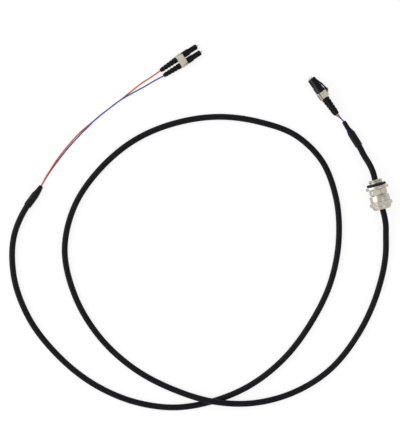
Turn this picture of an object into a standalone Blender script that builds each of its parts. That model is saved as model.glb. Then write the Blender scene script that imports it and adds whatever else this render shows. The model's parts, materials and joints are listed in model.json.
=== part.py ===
"""Fibre breakout cable, laid out in one loop on a flat surface.

A round black cable carries two tight-buffered fibres. At each end a shrink
sleeve closes the jacket, the orange and the blue fibre come out of it, and
each ends in a small-form plug. A clip with a trigger holds the two plugs of
an end side by side. A metal cable gland sits on the cable near its right end.

Every length is in metres, +Z is up and the surface it lies on is z = 0.
"""

import math

import bmesh
import bpy
from mathutils import Euler, Matrix, Vector

# Clearances
GAP = 0.0003
FIBRE_GAP = 0.0004
SEAT_GAP = 0.00025

# Small chamfers and the distance under which two vertices are one
CHAMFER = 0.0002
WELD_DISTANCE = 0.000005

# Cable jacket
JACKET_DIAMETER = 0.0053
JACKET_LIE = 0.0027
JACKET_SIDES = 3
JACKET_STEP = 0.0170

# Fibre legs
FIBRE_DIAMETER = 0.0012
FIBRE_LIE = 0.00065
FIBRE_STEP = 0.0055
FIBRE_PAIR_SPACING = 0.00145

# Shrink sleeves
SLEEVE_WALL = 0.0004
SLEEVE_TIP_RADIUS = 0.0018
SLEEVE_RADIUS = JACKET_DIAMETER / 2 + GAP + SLEEVE_WALL
SLEEVE_STEP = 0.0014

# Plug: x runs forward out of the front face, z towards the latch
PLUG_PITCH = 0.00625
NOSE_WIDTH = 0.0045
NOSE_LENGTH = 0.0086
HOUSING_LENGTH = 0.0145
SHOULDER_WIDTH = 0.0054
SHOULDER_HEIGHT = 0.0051
HOUSING_EDGE = 0.00022
FRONT_BORE_RADIUS = 0.0015
FRONT_BORE_DEPTH = 0.0056
STOP_WALL = 0.0008
STOP_RADIUS = 0.0011
CHAMBER_RADIUS = 0.0018
LATCH_WIDTH = 0.0027
LATCH_THICKNESS = 0.0007
LATCH_ROOT = 0.0019
LATCH_FOOT = 0.0020
LATCH_RISE_END = 0.0086
LATCH_MID_HEIGHT = 0.00448
LATCH_TAIL_START = 0.0126
LATCH_TAIL_END = 0.0155
LATCH_TOP = 0.00525
THUMB_WIDTH = 0.0038
THUMB_EDGE = 0.00005
LUG_WIDTH = 0.0046
LUG_LENGTH = 0.0014
LUG_DEPTH = 0.0008

# Ferrule, flange and spring
FERRULE_DIAMETER = 0.00125
FERRULE_REACH = 0.0018
FERRULE_CHAMFER = 0.0002
FERRULE_TRAVEL = 0.0008
FLANGE_RADIUS = 0.0015
FLANGE_LENGTH = 0.0017
FLANGE_WEB = 0.0003
TAIL_RADIUS = 0.0008
TAIL_BORE = 0.0005
SPRING_WIRE = 0.0003
SPRING_LENGTH = 0.0033
SPRING_TURNS = 4
SPRING_POINTS_PER_TURN = 8

# Back body and boot
BLOCK_WIDTH = 0.0044
BARREL_RADIUS = 0.0013
BARREL_LENGTH = 0.0060
BARREL_RIDGE = 0.0001
BARREL_RIDGE_AT = 0.0020
BARREL_RIDGE_LENGTH = 0.0006
BACK_BODY_EDGE = 0.0002
BOOT_ROOT_RADIUS = 0.0026
BOOT_WAIST_RADIUS = 0.0021
BOOT_TIP_RADIUS = 0.0014
BOOT_LENGTH = 0.0176
BOOT_COLLAR = 0.0022
BOOT_NOSE = 0.0034
BOOT_GROOVES = 4
BOOT_GROOVE_DEPTH = 0.00035
BOOT_GROOVE_WIDTH = 0.0008
BOOT_LEAN = math.radians(1.6)

# Duplex clip with its trigger
CLIP_LENGTH = 0.0058
CLIP_WALL = 0.0006
CLIP_SIDE_WALL = 0.00048
CLIP_EDGE = 0.0004
CLIP_SLOT_WIDTH = 0.0028
TRIGGER_WIDTH = 0.0088
TRIGGER_THICKNESS = 0.00075
TRIGGER_LIP = 0.0012

# Where the two plug pairs lie: middle of the front faces, heading and roll
LEFT_PLUGS_AT = (-0.0086, 0.0684)
LEFT_HEADING = math.radians(33.2)
RIGHT_PLUGS_AT = (0.0896, 0.0424)
RIGHT_HEADING = math.radians(125.8)
RIGHT_ROLL = math.radians(104.0)

# Gland: its x runs from the panel side to the dome, x = 0 is the collar's seat
GLAND_AT = (0.1467, -0.0516)
GLAND_HEADING = math.radians(-75.5)
STUB_DIAMETER = 0.0120
STUB_LENGTH = 0.0059
STUB_CHAMFER = 0.0004
O_RING_SECTION = 0.0024
COLLAR_DIAMETER = 0.0200
COLLAR_THICKNESS = 0.0025
COLLAR_EDGE = 0.0003
BODY_HEX_FLATS = 0.0140
BODY_HEX_END = 0.0076
BODY_HEX_TURN = math.radians(-13.0)
BODY_THREAD_DIAMETER = 0.0138
BODY_LENGTH = 0.0142
BODY_NECK = 0.0004
BODY_BORE_RADIUS = 0.0032
CLAW_SEAT = 0.0060
SEAL_LENGTH = 0.0081
SEAL_WALL = 0.00135
SEAL_CHAMFER = 0.0004
CLAW_WALL = 0.0009
CLAW_PROUD = 0.0023
CLAW_RING = 0.0030
CLAW_SLITS = 8
CLAW_SLIT_WIDTH = 0.0007
CLAW_TIP_TAPER = 0.0006
WASHER_THICKNESS = 0.0009
NUT_GROOVE = 0.0005
NUT_SKIRT_DIAMETER = 0.0175
NUT_SKIRT_SHORT = 0.0005
NUT_HEX_FLATS = 0.0180
NUT_HEX_LENGTH = 0.0038
NUT_DOME_LENGTH = 0.0032
NUT_DOME_RADIUS = 0.0084
NUT_FACE_RADIUS = 0.0063
NUT_THREAD_RELIEF = 0.0008
NUT_CHAMBER_RADIUS = 0.0060
NUT_HOLE_RADIUS = 0.0034
NUT_FLARE_RADIUS = 0.0044
NUT_EDGE = 0.0004
NUT_TRAVEL = 0.0045

# Facets round a turned piece
FACETS_LARGE = 32
FACETS_MEDIUM = 16
FACETS_SMALL = 12

# Sizes worked out from the ones above
GLAND_HEIGHT = COLLAR_DIAMETER / 2
SLEEVE_LIE = SLEEVE_RADIUS + 0.00005
FIBRE_OVER = FIBRE_LIE + FIBRE_DIAMETER + 0.0001
CLIP_FRONT = -(HOUSING_LENGTH + GAP)
CLIP_BACK = CLIP_FRONT - CLIP_LENGTH
CLIP_HALF_HEIGHT = BLOCK_WIDTH / 2 + GAP + CLIP_WALL
CLIP_HALF_WIDTH = PLUG_PITCH / 2 + BLOCK_WIDTH / 2 + GAP + CLIP_SIDE_WALL
TRIGGER_TOP = LATCH_TOP + GAP + TRIGGER_THICKNESS
LEFT_PLUGS_HEIGHT = CLIP_HALF_HEIGHT
RIGHT_PLUGS_HEIGHT = (
    CLIP_HALF_WIDTH * math.sin(RIGHT_ROLL) - CLIP_HALF_HEIGHT * math.cos(RIGHT_ROLL)
)
CHAMBER_FRONT = -(FRONT_BORE_DEPTH + STOP_WALL)
FLANGE_FRONT = CHAMBER_FRONT - GAP
FLANGE_BACK = FLANGE_FRONT - FLANGE_LENGTH - FLANGE_WEB
SPRING_FRONT = FLANGE_BACK - GAP
SPRING_BACK = SPRING_FRONT - SPRING_LENGTH
BACK_BODY_FRONT = SPRING_BACK - GAP
TAIL_END = BACK_BODY_FRONT + GAP + FERRULE_TRAVEL
BACK_BODY_BORE = FIBRE_DIAMETER / 2 + GAP
BLOCK_BACK = CLIP_BACK + GAP
BARREL_BACK = BLOCK_BACK - BARREL_LENGTH
BOOT_FRONT = CLIP_BACK - GAP
BOOT_BACK = BOOT_FRONT - BOOT_LENGTH
BOOT_BORE = BARREL_RADIUS + BARREL_RIDGE + GAP
SPRING_RADIUS = TAIL_RADIUS + GAP + SPRING_WIRE / 2
NUT_START = BODY_HEX_END + NUT_GROOVE
NUT_SKIRT_END = BODY_LENGTH - NUT_SKIRT_SHORT
NUT_BACK = NUT_SKIRT_END + NUT_HEX_LENGTH + NUT_DOME_LENGTH
CLAW_FRONT = CLAW_SEAT + GAP
CLAW_BACK = BODY_LENGTH + CLAW_PROUD
NUT_SHOULDER = CLAW_BACK + GAP + WASHER_THICKNESS + GAP

# The cable's route over the surface, from the left sleeve round to the gland
LEFT_JACKET_END = (-0.1516, -0.0591, SLEEVE_LIE)
LEFT_SLEEVE_END = (-0.1586, -0.0687, SLEEVE_LIE)
BEHIND_LEFT_SLEEVE = (-0.1646, -0.0795, 0.0031)
OUTER_AND_INNER_LOOP = [
    (-0.1691, -0.0910),
    (-0.1708, -0.1269),
    (-0.1576, -0.1658),
    (-0.1326, -0.1986),
    (-0.0989, -0.2254),
    (-0.0630, -0.2405),
    (-0.0289, -0.2449),
    (0.0039, -0.2394),
    (0.0359, -0.2259),
    (0.0656, -0.2026),
    (0.0893, -0.1715),
    (0.1068, -0.1356),
    (0.1141, -0.0963),
    (0.1112, -0.0600),
    (0.0989, -0.0288),
    (0.0760, -0.0068),
    (0.0446, 0.0048),
    (0.0110, 0.0093),
    (-0.0245, 0.0050),
    (-0.0621, -0.0096),
    (-0.0945, -0.0359),
    (-0.1173, -0.0691),
    (-0.1258, -0.1059),
    (-0.1173, -0.1461),
    (-0.0963, -0.1820),
    (-0.0639, -0.2118),
]
CROSSING_HEIGHT = JACKET_LIE + JACKET_DIAMETER + 0.00045
CROSSING_SHOULDER = JACKET_LIE + 0.0012
OVER_THE_CROSSING = [
    (-0.0298, -0.2295, CROSSING_SHOULDER),
    (0.0039, -0.2394, CROSSING_HEIGHT),
    (0.0376, -0.2412, CROSSING_SHOULDER),
]
RIGHT_SIDE = [
    (0.0726, -0.2326, JACKET_LIE),
    (0.1050, -0.2129, JACKET_LIE),
    (0.1308, -0.1811, JACKET_LIE),
    (0.1483, -0.1426, JACKET_LIE),
    (0.1551, -0.1094, JACKET_LIE),
    (0.1551, -0.0936, 0.0046),
    (0.1548, -0.0853, 0.0076),
]
STRAIGHT_BEHIND_NUT = NUT_TRAVEL + 0.0007
STRAIGHT_BEFORE_STUB = 0.0070
GLAND_TO_RIGHT_SLEEVE = [(0.1404, -0.0321, 0.0081), (0.1361, -0.0249, 0.0056)]
RIGHT_SLEEVE_END = (0.1317, -0.0162, 0.0036)
RIGHT_JACKET_END = (0.1250, -0.0054, 0.0039)

# The sleeves run on from the jacket's ends to their tips
LEFT_SLEEVE_TIP = (-0.1463, -0.0511, 0.0026)
LEFT_SLEEVE_NECK = (-0.1490, -0.0556, 0.0030)
RIGHT_SLEEVE_TIP = (0.1182, 0.0051, 0.0056)
RIGHT_SLEEVE_NECK = (0.1210, 0.0006, 0.0050)

# Sleeve radius at shares of the way from the tip to the jacket's end
LEFT_SLEEVE_TAPER = [(0.0, 0.0), (0.2, 0.24), (0.5, 0.46), (0.78, 0.74), (1.0, 1.0)]
RIGHT_SLEEVE_TAPER = [(0.0, 0.0), (0.1, 0.12), (0.6, 0.17), (0.78, 0.55), (1.0, 1.0)]

# The fibre legs' routes over the surface, from plug to sleeve
LEFT_ORANGE_ROUTE = [
    (-0.0499, 0.0443, 0.0019),
    (-0.0590, 0.0384, 0.0008),
    (-0.0677, 0.0317, FIBRE_LIE),
    (-0.0756, 0.0253, FIBRE_LIE),
    (-0.0876, 0.0162, FIBRE_LIE),
    (-0.0999, 0.0062, FIBRE_LIE),
    (-0.1062, 0.0011, FIBRE_LIE),
    (-0.1122, -0.0041, FIBRE_LIE),
    (-0.1231, -0.0160, FIBRE_LIE),
    (-0.1325, -0.0280, 0.0011),
    (-0.1384, -0.0371, 0.0021),
    (-0.1432, -0.0450, 0.0028),
]
LEFT_BLUE_ROUTE = [
    (-0.0473, 0.0409, 0.0019),
    (-0.0564, 0.0356, 0.0008),
    (-0.0657, 0.0306, 0.0010),
    (-0.0701, 0.0281, 0.0018),
    (-0.0756, 0.0249, FIBRE_OVER),
    (-0.0876, 0.0161, FIBRE_OVER),
    (-0.0999, 0.0061, FIBRE_OVER),
    (-0.1054, 0.0005, 0.0016),
    (-0.1113, -0.0051, FIBRE_LIE),
    (-0.1147, -0.0088, FIBRE_LIE),
    (-0.1221, -0.0169, FIBRE_LIE),
    (-0.1314, -0.0286, FIBRE_LIE),
    (-0.1379, -0.0374, 0.0008),
    (-0.1429, -0.0452, 0.0014),
]
RIGHT_ORANGE_ROUTE = [(0.1152, 0.0082, 0.0046)]
RIGHT_BLUE_ROUTE = [(0.1153, 0.0081, 0.0080)]


def clear_scene():
    for obj in list(bpy.data.objects):
        bpy.data.objects.remove(obj, do_unlink=True)


def new_collection(name):
    collection = bpy.data.collections.new(name)
    bpy.context.scene.collection.children.link(collection)
    return collection


def new_material(name, colour, roughness, metallic=0.0):
    material = bpy.data.materials.new(name)
    material.use_nodes = True
    shader = material.node_tree.nodes["Principled BSDF"]
    shader.inputs["Base Color"].default_value = (*colour, 1.0)
    shader.inputs["Roughness"].default_value = roughness
    shader.inputs["Metallic"].default_value = metallic
    material.diffuse_color = (*colour, 1.0)
    return material


def new_object(name, data, collection, material=None, parent=None):
    obj = bpy.data.objects.new(name, data)
    collection.objects.link(obj)
    if material is not None:
        data.materials.append(material)
    obj.parent = parent
    return obj


def frame_empty(name, collection, location, rotation):
    empty = bpy.data.objects.new(name, None)
    collection.objects.link(empty)
    empty.location = location
    empty.rotation_euler = rotation
    return empty


def evaluated_mesh(obj):
    depsgraph = bpy.context.evaluated_depsgraph_get()
    return bpy.data.meshes.new_from_object(obj.evaluated_get(depsgraph))


def weld(mesh):
    bm = bmesh.new()
    bm.from_mesh(mesh)
    bmesh.ops.remove_doubles(bm, verts=bm.verts, dist=WELD_DISTANCE)
    bm.to_mesh(mesh)
    bm.free()


def settle(obj, sharp_angle=math.radians(32.0)):
    """Apply the modifiers and shade the round faces smooth."""
    mesh = evaluated_mesh(obj)
    obj.modifiers.clear()
    obj.data = mesh
    weld(mesh)
    mesh.shade_smooth()
    mesh.set_sharp_from_angle(angle=sharp_angle)
    return obj


def curve_to_mesh(curve_obj, collection):
    """A mesh object in the curve's place, its caps welded to its sides."""
    mesh = evaluated_mesh(curve_obj)
    weld(mesh)
    obj = bpy.data.objects.new(curve_obj.name, mesh)
    collection.objects.link(obj)
    obj.parent = curve_obj.parent
    obj.matrix_world = curve_obj.matrix_world
    name = curve_obj.name
    bpy.data.objects.remove(curve_obj, do_unlink=True)
    obj.name = name
    return obj


class Workshop:
    """The collections and materials that every piece is made with."""

    def __init__(self):
        self.parts = new_collection("fibre_breakout_cable")
        self.cutters = new_collection("cutters")
        self.jacket = new_material("black_jacket", (0.018, 0.018, 0.024), 0.45)
        self.sleeve = new_material("shrink_sleeve", (0.014, 0.015, 0.022), 0.35)
        self.orange = new_material("orange_buffer", (0.78, 0.25, 0.12), 0.5)
        self.blue = new_material("blue_buffer", (0.16, 0.17, 0.52), 0.5)
        self.black = new_material("black_moulding", (0.012, 0.012, 0.018), 0.4)
        self.beige = new_material("beige_moulding", (0.61, 0.60, 0.46), 0.5)
        self.ceramic = new_material("white_ceramic", (0.86, 0.86, 0.84), 0.2)
        self.steel = new_material("bright_steel", (0.62, 0.62, 0.60), 0.3, 1.0)
        self.nickel = new_material("nickelled_brass", (0.66, 0.63, 0.56), 0.28, 1.0)
        self.rubber = new_material("black_rubber", (0.02, 0.018, 0.02), 0.7)
        self.nylon = new_material("white_nylon", (0.72, 0.72, 0.68), 0.5)

    def box(self, name, low, high, parent, bevel=0.0, material=None, tool=False):
        """A box between two corners of its parent's frame."""
        low = Vector(low)
        high = Vector(high)
        bm = bmesh.new()
        bmesh.ops.create_cube(bm, size=1.0)
        bmesh.ops.scale(bm, vec=high - low, verts=bm.verts)
        mesh = bpy.data.meshes.new(name)
        bm.to_mesh(mesh)
        bm.free()
        obj = self._add(name, mesh, parent, material, tool)
        obj.location = (low + high) / 2
        if bevel > 0.0:
            edges = obj.modifiers.new("edges", "BEVEL")
            edges.width = bevel
            edges.segments = 1
            edges.limit_method = "ANGLE"
        return obj

    def turned(self, name, profile, parent, facets, material=None, tool=False):
        """A piece turned about its parent's x from (x, radius) points.

        The points run along the outer side from the largest x to the
        smallest, and back along the inner side if the piece is hollow.
        """
        mesh = bpy.data.meshes.new(name)
        hollow = min(radius for _, radius in profile) > 0.0
        count = len(profile)
        edges = [(i, i + 1) for i in range(count - 1)]
        if hollow:
            edges.append((count - 1, 0))
        mesh.from_pydata([(radius, 0.0, x) for x, radius in profile], edges, [])
        obj = self._add(name, mesh, parent, material, tool)
        obj.rotation_euler = (0.0, math.pi / 2, 0.0)
        screw = obj.modifiers.new("turn", "SCREW")
        screw.angle = math.tau
        screw.steps = facets
        screw.render_steps = facets
        screw.use_merge_vertices = True
        screw.merge_threshold = 0.000001
        return obj

    def side_profile(self, name, outline, width, parent, material=None, tool=False):
        """An outline in its parent's x and z, as wide as given along y."""
        curve = bpy.data.curves.new(name, "CURVE")
        curve.dimensions = "2D"
        curve.fill_mode = "BOTH"
        curve.extrude = width / 2
        spline = curve.splines.new("POLY")
        spline.points.add(len(outline) - 1)
        for point, (x, z) in zip(spline.points, outline):
            point.co = (x, z, 0.0, 1.0)
        spline.use_cyclic_u = True
        obj = self._add(name, curve, parent, None, False)
        obj.rotation_euler = (math.pi / 2, 0.0, 0.0)
        bpy.context.view_layer.update()
        self.parts.objects.unlink(obj)
        self.cutters.objects.link(obj)
        target = self.cutters if tool else self.parts
        solid = curve_to_mesh(obj, target)
        if material is not None:
            solid.data.materials.append(material)
        if tool:
            self._mark_as_tool(solid)
        return solid

    def hexagon(self, name, x_low, x_high, flats, turn, parent, tool=True):
        """A six-sided bar along its parent's x; at turn 0 two corners lie along y."""
        bm = bmesh.new()
        radius = flats / math.sqrt(3.0)
        bmesh.ops.create_cone(
            bm,
            cap_ends=True,
            segments=6,
            radius1=radius,
            radius2=radius,
            depth=x_high - x_low,
        )
        mesh = bpy.data.meshes.new(name)
        bm.to_mesh(mesh)
        bm.free()
        obj = self._add(name, mesh, parent, None, tool)
        along_x = Euler((0.0, math.pi / 2, 0.0)).to_matrix()
        about_z = Matrix.Rotation(turn, 3, "Z")
        obj.rotation_euler = (along_x @ about_z).to_euler()
        obj.location = ((x_low + x_high) / 2, 0.0, 0.0)
        return obj

    def _add(self, name, data, parent, material, tool):
        collection = self.cutters if tool else self.parts
        obj = new_object(name, data, collection, material, parent)
        if tool:
            self._mark_as_tool(obj)
        return obj

    def _mark_as_tool(self, obj):
        obj.hide_render = True
        obj.display_type = "WIRE"


def combine(target, tool, operation):
    boolean = target.modifiers.new(tool.name, "BOOLEAN")
    boolean.operation = operation
    boolean.solver = "EXACT"
    boolean.object = tool
    return boolean


def cut(target, *tools):
    for tool in tools:
        combine(target, tool, "DIFFERENCE")


def unite(target, *tools):
    for tool in tools:
        combine(target, tool, "UNION")


def smooth_route(points, step):
    """Points along one smooth curve through the given ones, ends included."""
    points = [Vector(point) for point in points]
    spans = [(b - a).length for a, b in zip(points, points[1:])]
    slopes = [(b - a) / span for a, b, span in zip(points, points[1:], spans)]
    tangents = [slopes[0]]
    for i in range(1, len(points) - 1):
        before = spans[i - 1]
        after = spans[i]
        tangents.append((slopes[i - 1] * after + slopes[i] * before) / (before + after))
    tangents.append(slopes[-1])
    route = [points[0]]
    for i, span in enumerate(spans):
        pieces = max(1, round(span / step))
        for k in range(1, pieces + 1):
            t = k / pieces
            route.append(
                points[i] * (2 * t**3 - 3 * t**2 + 1)
                + tangents[i] * span * (t**3 - 2 * t**2 + t)
                + points[i + 1] * (3 * t**2 - 2 * t**3)
                + tangents[i + 1] * span * (t**3 - t**2)
            )
    return route


def tube(shop, name, route, diameter, material, resolution=2):
    """A plain round cord along a route."""
    curve = bpy.data.curves.new(name, "CURVE")
    curve.dimensions = "3D"
    curve.bevel_depth = diameter / 2
    curve.bevel_resolution = resolution
    curve.use_fill_caps = True
    spline = curve.splines.new("POLY")
    spline.points.add(len(route) - 1)
    for point, place in zip(spline.points, route):
        point.co = (*place, 1.0)
    return new_object(name, curve, shop.parts, material)


def gland_point(x):
    """A point on the gland's axis."""
    return (
        GLAND_AT[0] + x * math.cos(GLAND_HEADING),
        GLAND_AT[1] + x * math.sin(GLAND_HEADING),
        GLAND_HEIGHT,
    )


def jacket_route():
    route = [LEFT_JACKET_END, LEFT_SLEEVE_END, BEHIND_LEFT_SLEEVE]
    route += [(x, y, JACKET_LIE) for x, y in OUTER_AND_INNER_LOOP]
    route += OVER_THE_CROSSING
    route += RIGHT_SIDE
    route += [
        gland_point(NUT_BACK + STRAIGHT_BEHIND_NUT),
        gland_point(NUT_BACK),
        gland_point(-STUB_LENGTH),
        gland_point(-STUB_LENGTH - STRAIGHT_BEFORE_STUB),
    ]
    route += GLAND_TO_RIGHT_SLEEVE
    route += [RIGHT_SLEEVE_END, RIGHT_JACKET_END]
    return route


def make_jacket(shop):
    route = smooth_route(jacket_route(), JACKET_STEP)
    tube(shop, "cable_jacket", route, JACKET_DIAMETER, shop.jacket, JACKET_SIDES)


def taper_radius(taper, share):
    for (a, low), (b, high) in zip(taper, taper[1:]):
        if share <= b:
            grown = low + (high - low) * (share - a) / (b - a)
            return SLEEVE_TIP_RADIUS + (SLEEVE_RADIUS - SLEEVE_TIP_RADIUS) * grown
    return SLEEVE_RADIUS


def make_sleeve(shop, name, tip, neck, jacket_end, sleeve_end, taper):
    """A thin shrunk tube: tapered over the fibres, straight over the jacket."""
    over_fibres = smooth_route([tip, neck, jacket_end], SLEEVE_STEP)
    lengths = [0.0]
    for a, b in zip(over_fibres, over_fibres[1:]):
        lengths.append(lengths[-1] + (b - a).length)
    radii = [taper_radius(taper, length / lengths[-1]) for length in lengths]
    # the full radius is reached a little before the jacket's end
    radii[-2] = max(radii[-2], SLEEVE_RADIUS - GAP / 4)
    stations = over_fibres + [
        Vector(jacket_end).lerp(Vector(sleeve_end), share) for share in (0.5, 1.0)
    ]
    radii += [SLEEVE_RADIUS, SLEEVE_RADIUS]
    curve = bpy.data.curves.new(name, "CURVE")
    curve.dimensions = "3D"
    curve.bevel_depth = 1.0
    curve.bevel_resolution = 4
    curve.use_fill_caps = False
    spline = curve.splines.new("POLY")
    spline.points.add(len(stations) - 1)
    for point, place, radius in zip(spline.points, stations, radii):
        point.co = (*place, 1.0)
        point.radius = radius
    skin = new_object(name, curve, shop.parts)
    sleeve = curve_to_mesh(skin, shop.parts)
    sleeve.data.materials.append(shop.sleeve)
    wall = sleeve.modifiers.new("wall", "SOLIDIFY")
    wall.thickness = SLEEVE_WALL
    wall.offset = -1.0
    return settle(sleeve, math.radians(60.0))


def make_housing(shop, name, frame):
    """One black moulding: nose, shoulder and the bent latch arm with its lugs."""
    half_nose = NOSE_WIDTH / 2
    half_shoulder = SHOULDER_WIDTH / 2
    half_height = SHOULDER_HEIGHT / 2
    housing = shop.box(
        name,
        (-HOUSING_LENGTH + GAP, -half_nose, -half_nose),
        (0.0, half_nose, half_nose),
        frame,
        HOUSING_EDGE,
        shop.black,
    )
    shoulder = shop.box(
        name + "_shoulder",
        (-HOUSING_LENGTH, -half_shoulder, -half_height),
        (-NOSE_LENGTH, half_shoulder, half_height),
        frame,
        HOUSING_EDGE,
        tool=True,
    )
    sunk = half_nose - CHAMFER
    arm = shop.side_profile(
        name + "_arm",
        [
            (-LATCH_ROOT, sunk),
            (-LATCH_ROOT - GAP, half_nose + CHAMFER),
            (-LATCH_RISE_END, LATCH_MID_HEIGHT),
            (-LATCH_TAIL_START, LATCH_TOP),
            (-LATCH_TAIL_END, LATCH_TOP),
            (-LATCH_TAIL_END, LATCH_TOP - LATCH_THICKNESS),
            (-LATCH_TAIL_START, LATCH_TOP - LATCH_THICKNESS),
            (-LATCH_RISE_END, LATCH_MID_HEIGHT - LATCH_THICKNESS),
            (-LATCH_ROOT - LATCH_FOOT, sunk),
        ],
        LATCH_WIDTH,
        frame,
        tool=True,
    )
    thumb = shop.box(
        name + "_thumb",
        (-LATCH_TAIL_END - THUMB_EDGE, -THUMB_WIDTH / 2, LATCH_TOP - LATCH_THICKNESS - THUMB_EDGE),
        (-LATCH_TAIL_START - THUMB_EDGE, THUMB_WIDTH / 2, LATCH_TOP + THUMB_EDGE),
        frame,
        tool=True,
    )
    lugs = shop.box(
        name + "_lugs",
        (-LATCH_RISE_END - LUG_LENGTH / 2, -LUG_WIDTH / 2, LATCH_MID_HEIGHT - LUG_DEPTH),
        (-LATCH_RISE_END + LUG_LENGTH / 2, LUG_WIDTH / 2, LATCH_MID_HEIGHT - CHAMFER / 2),
        frame,
        tool=True,
    )
    bore = shop.turned(
        name + "_bore",
        [
            (GAP, 0.0),
            (GAP, FRONT_BORE_RADIUS + GAP),
            (-GAP, FRONT_BORE_RADIUS),
            (-FRONT_BORE_DEPTH, FRONT_BORE_RADIUS),
            (-FRONT_BORE_DEPTH, STOP_RADIUS),
            (CHAMBER_FRONT, STOP_RADIUS),
            (CHAMBER_FRONT, CHAMBER_RADIUS),
            (-HOUSING_LENGTH - GAP, CHAMBER_RADIUS),
            (-HOUSING_LENGTH - GAP, 0.0),
        ],
        frame,
        FACETS_MEDIUM,
        tool=True,
    )
    unite(housing, shoulder, arm, thumb, lugs)
    cut(housing, bore)
    return settle(housing)


def make_ferrule(shop, name, frame):
    radius = FERRULE_DIAMETER / 2
    back = FLANGE_FRONT - FLANGE_LENGTH + GAP
    ferrule = shop.turned(
        name,
        [
            (FERRULE_REACH, 0.0),
            (FERRULE_REACH, radius - FERRULE_CHAMFER),
            (FERRULE_REACH - FERRULE_CHAMFER, radius),
            (back, radius),
            (back, 0.0),
        ],
        frame,
        FACETS_SMALL,
        shop.ceramic,
    )
    return settle(ferrule)


def make_flange(shop, name, frame):
    """The metal collar that holds the ferrule, with the tail the spring rides on."""
    cup = FERRULE_DIAMETER / 2 + GAP
    flange = shop.turned(
        name,
        [
            (FLANGE_FRONT, FLANGE_RADIUS),
            (FLANGE_BACK, FLANGE_RADIUS),
            (FLANGE_BACK, TAIL_RADIUS),
            (TAIL_END, TAIL_RADIUS),
            (TAIL_END, TAIL_BORE),
            (FLANGE_BACK + FLANGE_WEB, TAIL_BORE),
            (FLANGE_BACK + FLANGE_WEB, cup),
            (FLANGE_FRONT, cup),
        ],
        frame,
        FACETS_SMALL,
        shop.steel,
    )
    return settle(flange)


def make_spring(shop, name, frame):
    """A coil spring round the flange's tail."""
    coil_length = SPRING_LENGTH - SPRING_WIRE
    start = SPRING_FRONT - SPRING_WIRE / 2
    count = SPRING_TURNS * SPRING_POINTS_PER_TURN
    curve = bpy.data.curves.new(name, "CURVE")
    curve.dimensions = "3D"
    curve.bevel_depth = SPRING_WIRE / 2
    curve.bevel_resolution = 0
    curve.use_fill_caps = True
    spline = curve.splines.new("POLY")
    spline.points.add(count)
    for i, point in enumerate(spline.points):
        angle = math.tau * i / SPRING_POINTS_PER_TURN
        x = start - coil_length * i / count
        point.co = (x, SPRING_RADIUS * math.cos(angle), SPRING_RADIUS * math.sin(angle), 1.0)
    return curve_to_mesh(new_object(name, curve, shop.parts, shop.steel, frame), shop.parts)


def make_back_body(shop, name, frame):
    """The moulding that closes the housing: pilot, square block and barrel."""
    half = BLOCK_WIDTH / 2
    pilot = CHAMBER_RADIUS - GAP
    ridge_top = BARREL_BACK + BARREL_RIDGE_AT
    body = shop.box(
        name,
        (BLOCK_BACK, -half, -half),
        (CLIP_FRONT, half, half),
        frame,
        BACK_BODY_EDGE,
        shop.black,
    )
    core = shop.turned(
        name + "_core",
        [
            (BACK_BODY_FRONT, 0.0),
            (BACK_BODY_FRONT, pilot),
            (CLIP_FRONT - GAP, pilot),
            (BLOCK_BACK + GAP, BARREL_RADIUS),
            (ridge_top + CHAMFER, BARREL_RADIUS),
            (ridge_top, BARREL_RADIUS + BARREL_RIDGE),
            (ridge_top - BARREL_RIDGE_LENGTH, BARREL_RADIUS),
            (BARREL_BACK + CHAMFER, BARREL_RADIUS),
            (BARREL_BACK, BARREL_RADIUS - CHAMFER),
            (BARREL_BACK, 0.0),
        ],
        frame,
        FACETS_SMALL,
        tool=True,
    )
    bore = shop.turned(
        name + "_bore",
        [
            (BACK_BODY_FRONT + GAP, 0.0),
            (BACK_BODY_FRONT + GAP, BACK_BODY_BORE),
            (BARREL_BACK - GAP, BACK_BODY_BORE),
            (BARREL_BACK - GAP, 0.0),
        ],
        frame,
        FACETS_SMALL,
        tool=True,
    )
    unite(body, core)
    cut(body, bore)
    return settle(body)


def boot_radius(x):
    """Outer radius of the boot, a long taper that closes in at its nose."""
    along = BOOT_FRONT - x
    nose = BOOT_LENGTH - BOOT_NOSE
    if along <= nose:
        return BOOT_ROOT_RADIUS + (BOOT_WAIST_RADIUS - BOOT_ROOT_RADIUS) * along / nose
    share = (along - nose) / BOOT_NOSE
    return BOOT_WAIST_RADIUS + (BOOT_TIP_RADIUS - BOOT_WAIST_RADIUS) * share**1.5


def make_boot(shop, name, frame):
    """The strain-relief boot, a rubber taper with ring grooves."""
    profile = [
        (0.0, BOOT_ROOT_RADIUS - CHAMFER),
        (-CHAMFER, BOOT_ROOT_RADIUS),
    ]
    pitch = (BOOT_LENGTH - BOOT_COLLAR - BOOT_NOSE) / BOOT_GROOVES
    for i in range(BOOT_GROOVES):
        start = -BOOT_COLLAR - i * pitch
        outer = boot_radius(BOOT_FRONT + start)
        inner = outer - BOOT_GROOVE_DEPTH
        end = start - BOOT_GROOVE_WIDTH
        profile += [
            (start, outer),
            (start - BOOT_GROOVE_WIDTH * 0.2, inner),
            (end + BOOT_GROOVE_WIDTH * 0.2, inner),
            (end, boot_radius(BOOT_FRONT + end)),
        ]
    for share in (0.3, 0.6, 0.85):
        x = -BOOT_LENGTH + BOOT_NOSE * (1.0 - share)
        profile.append((x, boot_radius(BOOT_FRONT + x)))
    fibre_bore = FIBRE_DIAMETER / 2 + FIBRE_GAP
    step_x = BARREL_BACK - BOOT_FRONT - FIBRE_GAP
    profile += [
        (-BOOT_LENGTH, BOOT_TIP_RADIUS - CHAMFER / 2),
        (-BOOT_LENGTH, fibre_bore),
        (step_x, fibre_bore),
        (step_x, BOOT_BORE),
        (0.0, BOOT_BORE),
    ]
    return settle(shop.turned(name, profile, frame, FACETS_MEDIUM, shop.black))


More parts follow.
